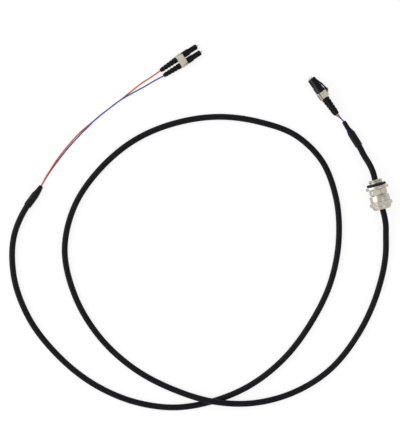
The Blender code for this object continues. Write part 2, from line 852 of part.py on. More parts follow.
def make_clip(shop, name, frame):
    """The duplex clip: two windows for the plugs and a trigger over the latches."""
    clip = shop.box(
        name,
        (CLIP_BACK, -CLIP_HALF_WIDTH, -CLIP_HALF_HEIGHT),
        (CLIP_FRONT, CLIP_HALF_WIDTH, CLIP_HALF_HEIGHT),
        frame,
        CLIP_EDGE,
        shop.beige,
    )
    lip_front = -LATCH_TAIL_END + TRIGGER_LIP
    under = TRIGGER_TOP - TRIGGER_THICKNESS
    foot = CLIP_HALF_HEIGHT - CLIP_WALL / 3
    rear = CLIP_BACK + CLIP_EDGE
    lift = TRIGGER_THICKNESS * 1.5
    trigger = shop.side_profile(
        name + "_trigger",
        [
            (rear, foot),
            (-LATCH_TAIL_END - GAP, TRIGGER_TOP),
            (lip_front + CHAMFER, TRIGGER_TOP),
            (lip_front, TRIGGER_TOP - CHAMFER),
            (lip_front, under),
            (-LATCH_TAIL_END - GAP, under),
            (rear + lift, foot),
        ],
        TRIGGER_WIDTH,
        frame,
        tool=True,
    )
    unite(clip, trigger)
    half_window = BLOCK_WIDTH / 2 + GAP
    for side in (-1, 1):
        middle = side * PLUG_PITCH / 2
        window = shop.box(
            f"{name}_window_{side}",
            (CLIP_BACK - GAP, middle - half_window, -half_window),
            (CLIP_FRONT + GAP, middle + half_window, half_window),
            frame,
            tool=True,
        )
        slot = shop.box(
            f"{name}_slot_{side}",
            (CLIP_BACK - GAP, middle - CLIP_SLOT_WIDTH / 2, -CLIP_HALF_HEIGHT - GAP),
            (CLIP_FRONT + GAP, middle + CLIP_SLOT_WIDTH / 2, -half_window + GAP),
            frame,
            tool=True,
        )
        cut(clip, window, slot)
    return settle(clip)


def make_plug_patterns(shop):
    """The plug's pieces, each made once along the x axis, by name."""
    bench = frame_empty("plug_bench", shop.cutters, (0.0, 0.0, 0.0), (0.0, 0.0, 0.0))
    return {
        "plug_housing": make_housing(shop, "plug_housing", bench),
        "ferrule": make_ferrule(shop, "ferrule", bench),
        "ferrule_flange": make_flange(shop, "ferrule_flange", bench),
        "ferrule_spring": make_spring(shop, "ferrule_spring", bench),
        "plug_back_body": make_back_body(shop, "plug_back_body", bench),
        "boot": make_boot(shop, "boot", bench),
    }


def place_copy(shop, pattern, name, parent):
    """An object of the pattern's shape in another parent's frame."""
    copy = new_object(name, pattern.data, shop.parts, None, parent)
    copy.location = pattern.location
    copy.rotation_euler = pattern.rotation_euler
    return copy


def place_plug_pair(shop, end, colours, location, rotation, clip, plug_pieces):
    """Clip and two plugs; the first colour lies on the pair's +y side."""
    pair = frame_empty(f"{end}_plugs", shop.parts, location, rotation)
    place_copy(shop, clip, f"{end}_duplex_clip", pair)
    for side, colour in zip((1, -1), colours):
        name = f"{end}_{colour}"
        across = (0.0, side * PLUG_PITCH / 2, 0.0)
        plug = frame_empty(f"{name}_plug_axis", shop.parts, across, (0.0, 0.0, 0.0))
        plug.parent = pair
        behind_clip = (BOOT_FRONT, 0.0, 0.0)
        lean = (0.0, 0.0, side * BOOT_LEAN)
        boot_axis = frame_empty(f"{name}_boot_axis", shop.parts, behind_clip, lean)
        boot_axis.parent = plug
        for piece, pattern in plug_pieces.items():
            parent = boot_axis if piece == "boot" else plug
            place_copy(shop, pattern, f"{name}_{piece}", parent)


def leg_in_plug(location, rotation, side):
    """The hidden stretch of a leg, from behind the ferrule to the boot's end."""
    pair = Matrix.Translation(location) @ Euler(rotation).to_matrix().to_4x4()
    y = side * PLUG_PITCH / 2
    lean = side * math.tan(BOOT_LEAN)
    halfway = (BARREL_BACK + BOOT_BACK) / 2
    places = [
        (BACK_BODY_FRONT - GAP, y, 0.0),
        (BARREL_BACK, y, 0.0),
        (halfway, y - lean * (BOOT_FRONT - halfway), 0.0),
        (BOOT_BACK, y - lean * BOOT_LENGTH, 0.0),
    ]
    return [pair @ Vector(place) for place in places]


def make_leg(shop, name, in_plug, free, sleeve_points, level):
    """One buffered fibre from its plug to the jacket's end inside the sleeve.

    The pair lies one over the other in the sleeve: level 1 is the upper one.
    """
    material = shop.orange if "orange" in name else shop.blue
    lift = Vector((0.0, 0.0, level * FIBRE_PAIR_SPACING / 2))
    in_sleeve = [Vector(point) + lift for point in sleeve_points]
    away = (in_sleeve[-2] - in_sleeve[-1]).normalized()
    in_sleeve[-1] = in_sleeve[-1] + away * GAP
    route = in_plug + [Vector(point) for point in free] + in_sleeve
    tube(shop, name, smooth_route(route, FIBRE_STEP), FIBRE_DIAMETER, material)


def make_gland(shop):
    rotation = (0.0, 0.0, GLAND_HEADING)
    axis = frame_empty("gland_axis", shop.parts, (*GLAND_AT, GLAND_HEIGHT), rotation)
    make_gland_body(shop, axis)
    make_gland_insert(shop, axis)
    make_dome_nut(shop, axis)


def make_gland_body(shop, axis):
    stub = STUB_DIAMETER / 2
    collar = COLLAR_DIAMETER / 2
    thread = BODY_THREAD_DIAMETER / 2
    hex_inside = BODY_HEX_FLATS / 2 - GAP
    claw_bore = SEAL_WALL + CLAW_WALL + JACKET_DIAMETER / 2 + 3 * GAP
    body = shop.turned(
        "gland_body",
        [
            (BODY_LENGTH, 0.0),
            (BODY_LENGTH, thread - BODY_NECK),
            (BODY_LENGTH - BODY_NECK, thread),
            (BODY_HEX_END + BODY_NECK, thread),
            (BODY_HEX_END, hex_inside),
            (COLLAR_THICKNESS, hex_inside),
            (COLLAR_THICKNESS, collar - COLLAR_EDGE),
            (COLLAR_THICKNESS - COLLAR_EDGE, collar),
            (COLLAR_EDGE, collar),
            (0.0, collar - COLLAR_EDGE),
            (0.0, stub),
            (-STUB_LENGTH + STUB_CHAMFER, stub),
            (-STUB_LENGTH, stub - STUB_CHAMFER),
            (-STUB_LENGTH, 0.0),
        ],
        axis,
        FACETS_LARGE,
        shop.nickel,
    )
    grip = shop.hexagon(
        "gland_body_hexagon",
        COLLAR_THICKNESS / 2,
        BODY_HEX_END,
        BODY_HEX_FLATS,
        BODY_HEX_TURN,
        axis,
    )
    bore = shop.turned(
        "gland_body_bore",
        [
            (BODY_LENGTH + GAP, 0.0),
            (BODY_LENGTH + GAP, claw_bore),
            (CLAW_SEAT, claw_bore),
            (CLAW_SEAT, BODY_BORE_RADIUS),
            (-STUB_LENGTH + STUB_CHAMFER, BODY_BORE_RADIUS),
            (-STUB_LENGTH - STUB_CHAMFER, BODY_BORE_RADIUS + 2 * STUB_CHAMFER),
            (-STUB_LENGTH - STUB_CHAMFER, 0.0),
        ],
        axis,
        FACETS_LARGE,
        tool=True,
    )
    unite(body, grip)
    cut(body, bore)
    settle(body)

    section = O_RING_SECTION / 2
    middle_x = -SEAT_GAP - section
    middle_r = stub + SEAT_GAP + section
    around = [math.tau * i / 8 for i in range(8)]
    ring = shop.turned(
        "gland_o_ring",
        [
            (middle_x + section * math.cos(angle), middle_r + section * math.sin(angle))
            for angle in around
        ],
        axis,
        FACETS_LARGE,
        shop.rubber,
    )
    settle(ring)


def make_gland_insert(shop, axis):
    """Seal, clamping claw and slip washer between body and nut."""
    seal_inner = JACKET_DIAMETER / 2 + GAP
    seal_outer = seal_inner + SEAL_WALL
    front = CLAW_FRONT
    seal = shop.turned(
        "gland_seal",
        [
            (front + SEAL_LENGTH, seal_outer - SEAL_CHAMFER),
            (front + SEAL_LENGTH - SEAL_CHAMFER, seal_outer),
            (front, seal_outer),
            (front, seal_inner),
            (front + SEAL_LENGTH, seal_inner),
        ],
        axis,
        FACETS_MEDIUM,
        shop.rubber,
    )
    settle(seal)

    claw_inner = seal_outer + GAP
    claw_outer = claw_inner + CLAW_WALL
    claw = shop.turned(
        "gland_clamp_claw",
        [
            (CLAW_BACK, claw_outer - CLAW_TIP_TAPER),
            (CLAW_BACK - 2 * CLAW_TIP_TAPER, claw_outer),
            (front, claw_outer),
            (front, claw_inner),
            (CLAW_BACK, claw_inner),
        ],
        axis,
        FACETS_LARGE,
        shop.nylon,
    )
    for i in range(CLAW_SLITS // 2):
        slit = shop.box(
            f"gland_claw_slit_{i}",
            (front + CLAW_RING, -claw_outer - GAP, -CLAW_SLIT_WIDTH / 2),
            (CLAW_BACK + GAP, claw_outer + GAP, CLAW_SLIT_WIDTH / 2),
            axis,
            tool=True,
        )
        slit.rotation_euler = (math.tau * (i + 1 / 2) / CLAW_SLITS, 0.0, 0.0)
        cut(claw, slit)
    settle(claw)

    washer_front = CLAW_BACK + GAP
    washer_outer = NUT_CHAMBER_RADIUS - GAP
    washer_inner = JACKET_DIAMETER / 2 + FIBRE_GAP
    washer = shop.turned(
        "gland_slip_washer",
        [
            (washer_front + WASHER_THICKNESS, washer_outer),
            (washer_front, washer_outer),
            (washer_front, washer_inner),
            (washer_front + WASHER_THICKNESS, washer_inner),
        ],
        axis,
        FACETS_MEDIUM,
        shop.nylon,
    )
    settle(washer)


def make_dome_nut(shop, axis):
    """Round skirt, hexagon and dome, threaded inside over the gland body."""
    skirt = NUT_SKIRT_DIAMETER / 2
    skirt_end = NUT_SKIRT_END
    hex_end = skirt_end + NUT_HEX_LENGTH
    thread = BODY_THREAD_DIAMETER / 2 + GAP
    cone = BODY_LENGTH + NUT_THREAD_RELIEF
    dome = []
    for i in range(5):
        angle = math.pi / 2 * (1.0 - i / 4)
        x = hex_end + NUT_DOME_LENGTH * math.sin(angle)
        radius = NUT_FACE_RADIUS + (NUT_DOME_RADIUS - NUT_FACE_RADIUS) * math.cos(angle)
        dome.append((x, radius))
    nut = shop.turned(
        "gland_dome_nut",
        [(NUT_BACK, 0.0)]
        + dome
        + [
            (skirt_end + NUT_EDGE, NUT_DOME_RADIUS),
            (skirt_end, skirt),
            (NUT_START + NUT_EDGE, skirt),
            (NUT_START, skirt - NUT_EDGE),
            (NUT_START, 0.0),
        ],
        axis,
        FACETS_LARGE,
        shop.nickel,
    )
    grip = shop.hexagon(
        "gland_nut_hexagon", skirt_end, hex_end, NUT_HEX_FLATS, math.pi / 6, axis
    )
    corner = NUT_HEX_FLATS / math.sqrt(3.0)
    rounding = shop.turned(
        "gland_nut_chamfer",
        [
            (hex_end + NUT_EDGE, 0.0),
            (hex_end + NUT_EDGE, corner - 4 * NUT_EDGE),
            (hex_end - 2 * NUT_EDGE, corner + NUT_EDGE / 4),
            (skirt_end + 2 * NUT_EDGE, corner + NUT_EDGE / 4),
            (skirt_end - NUT_EDGE, corner - 4 * NUT_EDGE),
            (skirt_end - NUT_EDGE, 0.0),
        ],
        axis,
        FACETS_LARGE,
        tool=True,
    )
    combine(grip, rounding, "INTERSECT")
    bore = shop.turned(
        "gland_nut_bore",
        [
            (NUT_BACK + GAP, 0.0),
            (NUT_BACK + GAP, NUT_FLARE_RADIUS + GAP),
            (NUT_BACK - NUT_FLARE_RADIUS + NUT_HOLE_RADIUS, NUT_HOLE_RADIUS),
            (NUT_SHOULDER, NUT_HOLE_RADIUS),
            (NUT_SHOULDER, NUT_CHAMBER_RADIUS),
            (cone + thread - NUT_CHAMBER_RADIUS, NUT_CHAMBER_RADIUS),
            (cone, thread),
            (NUT_START - GAP, thread),
            (NUT_START - GAP, 0.0),
        ],
        axis,
        FACETS_LARGE,
        tool=True,
    )
    unite(nut, grip)
    cut(nut, bore)
    settle(nut)


def build():
    clear_scene()
    shop = Workshop()
    make_jacket(shop)
    make_sleeve(
        shop,
        "left_breakout_sleeve",
        LEFT_SLEEVE_TIP,
        LEFT_SLEEVE_NECK,
        LEFT_JACKET_END,
        LEFT_SLEEVE_END,
        LEFT_SLEEVE_TAPER,
    )
    make_sleeve(
        shop,
        "right_breakout_sleeve",
        RIGHT_SLEEVE_TIP,
        RIGHT_SLEEVE_NECK,
        RIGHT_JACKET_END,
        RIGHT_SLEEVE_END,
        RIGHT_SLEEVE_TAPER,
    )

    left_at = (*LEFT_PLUGS_AT, LEFT_PLUGS_HEIGHT)
    left_turn = (0.0, 0.0, LEFT_HEADING)
    right_at = (*RIGHT_PLUGS_AT, RIGHT_PLUGS_HEIGHT)
    right_turn = (RIGHT_ROLL, 0.0, RIGHT_HEADING)
    bench = frame_empty("clip_bench", shop.cutters, (0.0, 0.0, 0.0), (0.0, 0.0, 0.0))
    clip = make_clip(shop, "duplex_clip", bench)
    plug_pieces = make_plug_patterns(shop)
    left_colours = ("orange", "blue")
    right_colours = ("blue", "orange")
    place_plug_pair(shop, "left", left_colours, left_at, left_turn, clip, plug_pieces)
    place_plug_pair(shop, "right", right_colours, right_at, right_turn, clip, plug_pieces)
    for pattern in [clip, *plug_pieces.values()]:
        bpy.data.objects.remove(pattern, do_unlink=True)

    left_sleeve = [LEFT_SLEEVE_TIP, LEFT_SLEEVE_NECK, LEFT_JACKET_END]
    right_sleeve = [RIGHT_SLEEVE_TIP, RIGHT_SLEEVE_NECK, RIGHT_JACKET_END]
    upper_left = leg_in_plug(left_at, left_turn, 1)
    lower_left = leg_in_plug(left_at, left_turn, -1)
    upper_right = leg_in_plug(right_at, right_turn, 1)
    lower_right = leg_in_plug(right_at, right_turn, -1)
    make_leg(shop, "left_orange_fibre", upper_left, LEFT_ORANGE_ROUTE, left_sleeve, 1)
    make_leg(shop, "left_blue_fibre", lower_left, LEFT_BLUE_ROUTE, left_sleeve, -1)
    make_leg(shop, "right_blue_fibre", upper_right, RIGHT_BLUE_ROUTE, right_sleeve, 1)
    make_leg(shop, "right_orange_fibre", lower_right, RIGHT_ORANGE_ROUTE, right_sleeve, -1)

    make_gland(shop)


build()
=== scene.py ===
"""Looks of the fibre breakout cable: fine pieces, finishes, light and camera.

Every length is in metres in the cable's own frame: +Z up, the surface is z = 0.
"""

import json
import math

import bmesh
import bpy
from mathutils import Euler, Matrix, Vector


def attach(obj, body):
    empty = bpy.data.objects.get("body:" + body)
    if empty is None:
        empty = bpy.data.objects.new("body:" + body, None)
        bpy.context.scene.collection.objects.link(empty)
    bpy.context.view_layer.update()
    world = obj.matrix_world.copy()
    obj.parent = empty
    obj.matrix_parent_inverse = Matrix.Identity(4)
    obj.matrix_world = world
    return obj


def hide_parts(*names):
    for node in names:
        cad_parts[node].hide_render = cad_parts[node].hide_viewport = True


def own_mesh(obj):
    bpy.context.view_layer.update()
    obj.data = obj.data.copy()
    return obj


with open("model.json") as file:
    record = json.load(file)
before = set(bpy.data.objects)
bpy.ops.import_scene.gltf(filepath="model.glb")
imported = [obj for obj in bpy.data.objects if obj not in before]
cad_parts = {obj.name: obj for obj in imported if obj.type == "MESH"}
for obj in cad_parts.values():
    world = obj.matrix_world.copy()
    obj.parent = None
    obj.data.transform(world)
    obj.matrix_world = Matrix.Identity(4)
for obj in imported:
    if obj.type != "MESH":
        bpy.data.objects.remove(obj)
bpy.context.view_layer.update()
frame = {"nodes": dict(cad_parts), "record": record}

# The clearance between neighbours, and how far a cut runs past what it cuts
GAP = 0.0003
OVERCUT = 0.0003

# Each lamp's place, width and watts
LAMPS = {
    "left_softbox": (Vector((-1.35, 0.15, 0.75)), 1.8, 11.0),
    "right_softbox": (Vector((0.9, -0.5, 1.3)), 1.0, 3.0),
}
LIT_MIDDLE = Vector((0.0, -0.08, 0.0))
ROOM_LIGHT = 0.6
FLOOR_GLOW = 0.77
FLOOR_GLOW_MIRRORED = 0.45

# The cable and the fibres; a lie is the height of a cord's middle
JACKET_DIAMETER = 0.0053
JACKET_LIE = 0.0027
CROSSING_LIE = 0.00845
BESIDE_CROSSING_LIE = 0.0039
FIBRE_DIAMETER = 0.0012
FIBRE_LIE = 0.00065
FIBRE_OVER = FIBRE_LIE + FIBRE_DIAMETER + 0.0001
FIBRE_PAIR_SPACING = 0.00145
FIBRE_BEHIND_SPRING = 0.0006
SLEEVE_WALL = 0.0004
SLEEVE_TIP_RADIUS = 0.0018
SLEEVE_RADIUS = 0.00335
SLEEVE_LIE = 0.0034
SLEEVE_FOLD = 0.00006
SLEEVE_LIP = 0.00012
SLEEVE_LIP_RINGS = 4

# The plug, x forward from its front face and z towards its latch
PLUG_PITCH = 0.00625
HOUSING_LENGTH = 0.0145
HOUSING_EDGE = 0.00022
FINE_EDGE = 0.00006
NOSE_LENGTH = 0.0086
NOSE_HALF = 0.00225
NOSE_TAPER = 0.0006
NOSE_FACE_SHARE = 0.87
SHOULDER_HALF = 0.0027
LATCH_EDGE = 0.0001
GROOVES = 4
GROOVE_STEP = 0.00055
BLOCK_WIDTH = 0.0044
BARREL_LENGTH = 0.0060
CLIP_FRONT = -0.0148
CLIP_BACK = -0.0206
CLIP_HALF_HEIGHT = 0.0031
CLIP_HALF_WIDTH = 0.006105

# The ferrule and its spring
FERRULE_FRONT = 0.0018
FERRULE_BACK = -0.0081
FERRULE_RADIUS = 0.000625
FERRULE_FACE_RADIUS = 0.00042
FERRULE_CHAMFER = 0.0002
FERRULE_CORE = 0.00001
SPRING_FRONT = -0.0090
SPRING_BACK = -0.0123
SPRING_RADIUS = 0.00125
SPRING_TURNS = 6.0
SPRING_FLAT_TURNS = 0.9
WIRE_RADIUS = 0.00015
WIRE_SKIN_RADIUS = 0.0001455
WIRE_FLAT_RISE = 0.00027

# The boot, from its collar back. A cut takes a share of its pitch about a middle,
# and opens where the skin faces its side by more than a cosine.
BOOT_FRONT = -0.0209
BOOT_LENGTH = 0.0176
BOOT_COLLAR = 0.0022
BOOT_NOSE = 0.0034
BOOT_ROOT_RADIUS = 0.0026
BOOT_WAIST_RADIUS = 0.0021
BOOT_TIP_RADIUS = 0.0014
BOOT_BORE_RADIUS = 0.0017
BOOT_HOLE_RADIUS = FIBRE_DIAMETER / 2 + 0.0004
BOOT_HOLE_LENGTH = 0.0116
BOOT_EDGE = 0.0002
BOOT_TIP_EDGE = 0.00014
BOOT_CUTS = 8
BOOT_CUT_DEPTH = 0.00038
BOOT_CUT_SHARE = 0.62
BOOT_CUT_MIDDLE = 0.3
BOOT_CUT_FACING = 0.42
BOOT_LEAN = math.radians(1.6)

# The gland's place, and its sizes with x from the panel side to the dome
GLAND_AT = Vector((0.1467, -0.0516, 0.0100))
GLAND_HEADING = math.radians(-75.5)
STUB_LENGTH = 0.0059
STUB_RADIUS = 0.0060
STUB_ROOT_RADIUS = 0.0058
STUB_THREAD_DEPTH = 0.0005
O_RING_SECTION = 0.0024
O_RING_GAP = 0.00025
COLLAR_RADIUS = 0.0100
COLLAR_THICKNESS = 0.0025
COLLAR_EDGE = 0.0003
BODY_LENGTH = 0.0142
BODY_HEX_END = 0.0076
BODY_HEX_FLATS = 0.0140
BODY_HEX_CORNER_AT = math.radians(13.0)
BODY_NECK_RADIUS = 0.0064
BODY_THREAD_RADIUS = 0.0069
BODY_THREAD_DEPTH = 0.0007
BODY_BORE_RADIUS = 0.0032
CLAW_SEAT = 0.0060
CLAW_SEAT_RADIUS = 0.0058
CLAW_FRONT = 0.0063
CLAW_BACK = 0.0165
SEAL_END = CLAW_FRONT + 0.0081
SEAL_BORE_RADIUS = 0.00295
WASHER_FRONT = CLAW_BACK + 0.0003
WASHER_BACK = CLAW_BACK + 0.0012
NUT_START = 0.0081
NUT_SKIRT_END = 0.0137
NUT_SKIRT_RADIUS = 0.00875
NUT_GRIP_RADIUS = 0.00845
NUT_HEX_END = 0.0175
NUT_HEX_FLATS = 0.0180
NUT_HEX_CORNER_AT = math.radians(37.0)
NUT_BACK = 0.0207
NUT_FACE_RADIUS = 0.0063
NUT_DOME_RADIUS = 0.0084
NUT_THREAD_END = 0.0148
NUT_THREAD_RADIUS = 0.0072
NUT_THREAD_DEPTH = 0.0004
NUT_CHAMBER_END = 0.0180
NUT_CHAMBER_RADIUS = 0.0060
NUT_HOLE_RADIUS = 0.0034
NUT_EDGE = 0.0001
THREAD_PITCH = 0.0015
THREAD_STEP = 0.000125
HEXAGON_CHAMFER = 1.7
HEXAGON_FACE_INSET = 0.0002
HEXAGON_CORNER_SHARE = 0.985

# The tones that all black plastic shares, dark and light
BLACK = ((0.0042, 0.0038, 0.0056), (0.0068, 0.0062, 0.0086))

# A cord finish: dark and light tone, roughness from and to, bump, specular level
CORD_FINISHES = {
    "black_jacket": (*BLACK, (0.5, 0.62), 0.000012, 0.17),
    "shrink_sleeve": (
        (0.0038, 0.0042, 0.0085), (0.0065, 0.007, 0.013), (0.38, 0.52), 0.00003, 0.2
    ),
    "orange_buffer": (
        (0.66, 0.10, 0.008), (0.76, 0.14, 0.014), (0.4, 0.55), 0.000004, 0.14
    ),
    "blue_buffer": (
        (0.06, 0.08, 0.33), (0.085, 0.11, 0.43), (0.4, 0.55), 0.000004, 0.16
    ),
}

# A moulded finish has the tone of its rubbed edges as well, third
MOULDED_FINISHES = {
    "black_moulding": (*BLACK, (0.03, 0.03, 0.036), (0.36, 0.5), 0.000008, 0.2),
    "black_boot": (*BLACK, (0.02, 0.02, 0.024), (0.46, 0.6), 0.000008, 0.18),
    "beige_moulding": (
        (0.575, 0.55, 0.435), (0.655, 0.63, 0.505), (0.72, 0.70, 0.59),
        (0.38, 0.52), 0.000006, 0.5,
    ),
    "black_rubber": (
        (0.010, 0.009, 0.010), (0.018, 0.016, 0.017), (0.03, 0.028, 0.028),
        (0.6, 0.75), 0.00001, 0.3,
    ),
    "white_nylon": (
        (0.66, 0.66, 0.61), (0.74, 0.74, 0.70), (0.8, 0.8, 0.76),
        (0.4, 0.55), 0.000005, 0.5,
    ),
}

# A metal finish has that tone too, and the width of its lathe lines last
METAL_FINISHES = {
    "bright_steel": (
        (0.50, 0.50, 0.49), (0.66, 0.66, 0.65), (0.78, 0.78, 0.77),
        (0.22, 0.4), 0.000002, 0.00008,
    ),
    "nickelled_brass": (
        (0.70, 0.655, 0.565), (0.78, 0.735, 0.645), (0.85, 0.81, 0.73),
        (0.30, 0.40), 0.0000005, 0.00014,
    ),
}


def lying(points, lie):
    """A route's points; those that have no height of their own get this one."""
    return [point if len(point) == 3 else (*point, lie) for point in points]


# The cable's points before and after the gland, the same as the solids follow
CABLE_ROUTE = lying([
    (-0.1516, -0.0591, SLEEVE_LIE), (-0.1586, -0.0687, SLEEVE_LIE),
    (-0.1646, -0.0795, 0.0031), (-0.1691, -0.0910), (-0.1708, -0.1269), (-0.1576, -0.1658),
    (-0.1326, -0.1986), (-0.0989, -0.2254), (-0.0630, -0.2405), (-0.0289, -0.2449),
    (0.0039, -0.2394), (0.0359, -0.2259), (0.0656, -0.2026), (0.0893, -0.1715),
    (0.1068, -0.1356), (0.1141, -0.0963), (0.1112, -0.0600), (0.0989, -0.0288),
    (0.0760, -0.0068), (0.0446, 0.0048), (0.0110, 0.0093), (-0.0245, 0.0050),
    (-0.0621, -0.0096), (-0.0945, -0.0359), (-0.1173, -0.0691), (-0.1258, -0.1059),
    (-0.1173, -0.1461), (-0.0963, -0.1820), (-0.0639, -0.2118),
    (-0.0298, -0.2295, BESIDE_CROSSING_LIE), (0.0039, -0.2394, CROSSING_LIE),
    (0.0376, -0.2412, BESIDE_CROSSING_LIE), (0.0726, -0.2326), (0.1050, -0.2129),
    (0.1308, -0.1811), (0.1483, -0.1426), (0.1551, -0.1094),
    (0.1551, -0.0936, 0.0046), (0.1548, -0.0853, 0.0076),
], JACKET_LIE)
GLAND_STATIONS = (NUT_BACK + 0.0052, NUT_BACK, -STUB_LENGTH, -STUB_LENGTH - 0.0070)
AFTER_GLAND = [
    (0.1404, -0.0321, 0.0081), (0.1361, -0.0249, 0.0056),
    (0.1317, -0.0162, 0.0036), (0.1250, -0.0054, 0.0039),
]

# Each end's plug pair has its middle, roll and heading. The sleeve has its points
# from the fibres to the jacket, the jacket's point that it ends at, and its
# growth by share of the way. The fibres' free points run from plug to sleeve, and
# the fibre of the plug on the pair's +y side comes first.
ENDS = {
    "left": {
        "plugs": (Vector((-0.0086, 0.0684, 0.0031)), 0.0, math.radians(33.2)),
        "sleeve": [(-0.1463, -0.0511, 0.0026), (-0.1490, -0.0556, 0.0030), CABLE_ROUTE[0]],
        "sleeve_end": CABLE_ROUTE[1],
        "taper": [(0.0, 0.0), (0.2, 0.24), (0.5, 0.46), (0.78, 0.74), (1.0, 1.0)],
        "fibres": {
            "orange": lying([
                (-0.0499, 0.0443, 0.0019), (-0.0590, 0.0384, 0.0008), (-0.0677, 0.0317),
                (-0.0756, 0.0253), (-0.0876, 0.0162), (-0.0999, 0.0062), (-0.1062, 0.0011),
                (-0.1122, -0.0041), (-0.1231, -0.0160), (-0.1325, -0.0280, 0.0011),
                (-0.1384, -0.0371, 0.0021), (-0.1432, -0.0450, 0.0028),
            ], FIBRE_LIE),
            "blue": lying([
                (-0.0473, 0.0409, 0.0019), (-0.0564, 0.0356, 0.0008),
                (-0.0657, 0.0306, 0.0010), (-0.0701, 0.0281, 0.0018),
                (-0.0756, 0.0249, FIBRE_OVER), (-0.0876, 0.0161, FIBRE_OVER),
                (-0.0999, 0.0061, FIBRE_OVER), (-0.1054, 0.0005, 0.0016),
                (-0.1113, -0.0051), (-0.1147, -0.0088), (-0.1221, -0.0169),
                (-0.1314, -0.0286), (-0.1379, -0.0374, 0.0008), (-0.1429, -0.0452, 0.0014),
            ], FIBRE_LIE),
        },
    },
    "right": {
        "plugs": (
            Vector((0.0896, 0.0424, 0.0066734)), math.radians(104.0), math.radians(125.8)
        ),
        "sleeve": [(0.1182, 0.0051, 0.0056), (0.1210, 0.0006, 0.0050), AFTER_GLAND[3]],
        "sleeve_end": AFTER_GLAND[2],
        "taper": [(0.0, 0.0), (0.1, 0.12), (0.6, 0.17), (0.78, 0.55), (1.0, 1.0)],
        "fibres": {"blue": [(0.1153, 0.0081, 0.0080)], "orange": [(0.1152, 0.0082, 0.0046)]},
    },
}


def clear_start():
    """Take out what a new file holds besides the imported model."""
    for name in ("Cube", "Light", "Camera"):
        found = bpy.data.objects.get(name)
        if found is not None:
            bpy.data.objects.remove(found, do_unlink=True)


def place_in_scene(name, data):
    thing = bpy.data.objects.new(name, data)
    bpy.context.scene.collection.objects.link(thing)
    return thing


def add_camera():
    """Straight down over the photograph's middle."""
    camera = place_in_scene("camera", bpy.data.cameras.new("camera"))
    camera.data.lens = 233.8
    camera.data.sensor_width = 36.0
    camera.data.clip_start = 0.01
    camera.data.clip_end = 20.0
    camera.location = (-0.00744, -0.08096, 2.5027)
    bpy.context.scene.camera = camera


class Wiring:
    """Adds and joins the nodes of one shader tree."""

    def __init__(self, tree):
        self.tree = tree

    def add(self, kind, values=None, **settings):
        """A new node with its settings, and its sockets fed with the values."""
        node = self.tree.nodes.new(kind)
        for name, value in settings.items():
            setattr(node, name, value)
        for socket, value in (values or {}).items():
            self.feed(node.inputs[socket], value)
        return node

    def feed(self, socket, value):
        if isinstance(value, bpy.types.NodeSocket):
            self.tree.links.new(value, socket)
        else:
            socket.default_value = value

    def maths(self, operation, a, b=0.0):
        return self.add("ShaderNodeMath", {0: a, 1: b}, operation=operation).outputs[0]

    def times(self, a, b):
        return self.maths("MULTIPLY", a, b)

    def per_metre(self, size):
        """The scale at which a pattern has this size, in metres."""
        return self.maths("DIVIDE", 1.0, size)

    def object_place(self):
        return self.add("ShaderNodeTexCoord").outputs["Object"]

    def attribute(self, name, output):
        return self.add("ShaderNodeAttribute", attribute_name=name).outputs[output]

    def split(self, vector):
        return self.add("ShaderNodeSeparateXYZ", {0: vector}).outputs

    def off_axis(self, place):
        """The x of a place, and how far it lies from the x axis."""
        part = self.split(place)
        y2 = self.times(part["Y"], part["Y"])
        z2 = self.times(part["Z"], part["Z"])
        return part["X"], self.maths("SQRT", self.maths("ADD", y2, z2))

    def noise(self, vector, scale, detail=2.0):
        values = {"Vector": vector, "Scale": scale, "Detail": detail}
        return self.add("ShaderNodeTexNoise", values).outputs["Fac"]

    def fade(self, value, low, high, to_low=0.0, to_high=1.0):
        values = {"Value": value, "From Min": low, "From Max": high}
        values |= {"To Min": to_low, "To Max": to_high}
        return self.add("ShaderNodeMapRange", values).outputs["Result"]

    def blend(self, share, first, second):
        values = {0: share, 6: first, 7: second}
        return self.add("ShaderNodeMix", values, data_type="RGBA").outputs[2]

    def placed_group(self, group, **values):
        """A group's outputs; its sockets are given as Grain_Size for Grain Size."""
        node = self.add("ShaderNodeGroup", node_tree=group)
        for name, value in values.items():
            self.feed(node.inputs[name.replace("_", " ")], value)
        return node.outputs

    def ray_masks(self):
        """Masks of the rays that see a thing straight on, and of mirrored ones."""
        rays = self.add("ShaderNodeLightPath").outputs
        straight = self.maths("MAXIMUM", rays["Is Camera Ray"], rays["Is Transmission Ray"])
        return straight, rays["Is Glossy Ray"]


def new_group(name, sizes, masks, placed=True):
    """A shader group with its place, named sizes and masks, and its wiring."""
    group = bpy.data.node_groups.new(name, "ShaderNodeTree")
    sockets = group.interface
    if placed:
        sockets.new_socket(name="Place", in_out="INPUT", socket_type="NodeSocketVector")
    for label, value in sizes.items():
        size = sockets.new_socket(name=label, in_out="INPUT", socket_type="NodeSocketFloat")
        size.default_value = value
    for label in masks:
        sockets.new_socket(name=label, in_out="OUTPUT", socket_type="NodeSocketFloat")
    wiring = Wiring(group)
    start = wiring.add("NodeGroupInput").outputs
    end = wiring.add("NodeGroupOutput").inputs
    return group, wiring, start, end


def grain_group():
    """Fine moulded grain, and soft clouds for slow changes of tone."""
    sizes = {"Grain Size": 0.0001, "Cloud Size": 0.004}
    group, w, start, end = new_group("moulded_grain", sizes, ["Grain", "Cloud"])
    fine = w.noise(start["Place"], w.per_metre(start["Grain Size"]), 3.0)
    soft = w.noise(start["Place"], w.per_metre(start["Cloud Size"]), 2.0)
    w.feed(end["Grain"], w.fade(fine, 0.3, 0.7))
    w.feed(end["Cloud"], w.fade(soft, 0.32, 0.68))
    return group


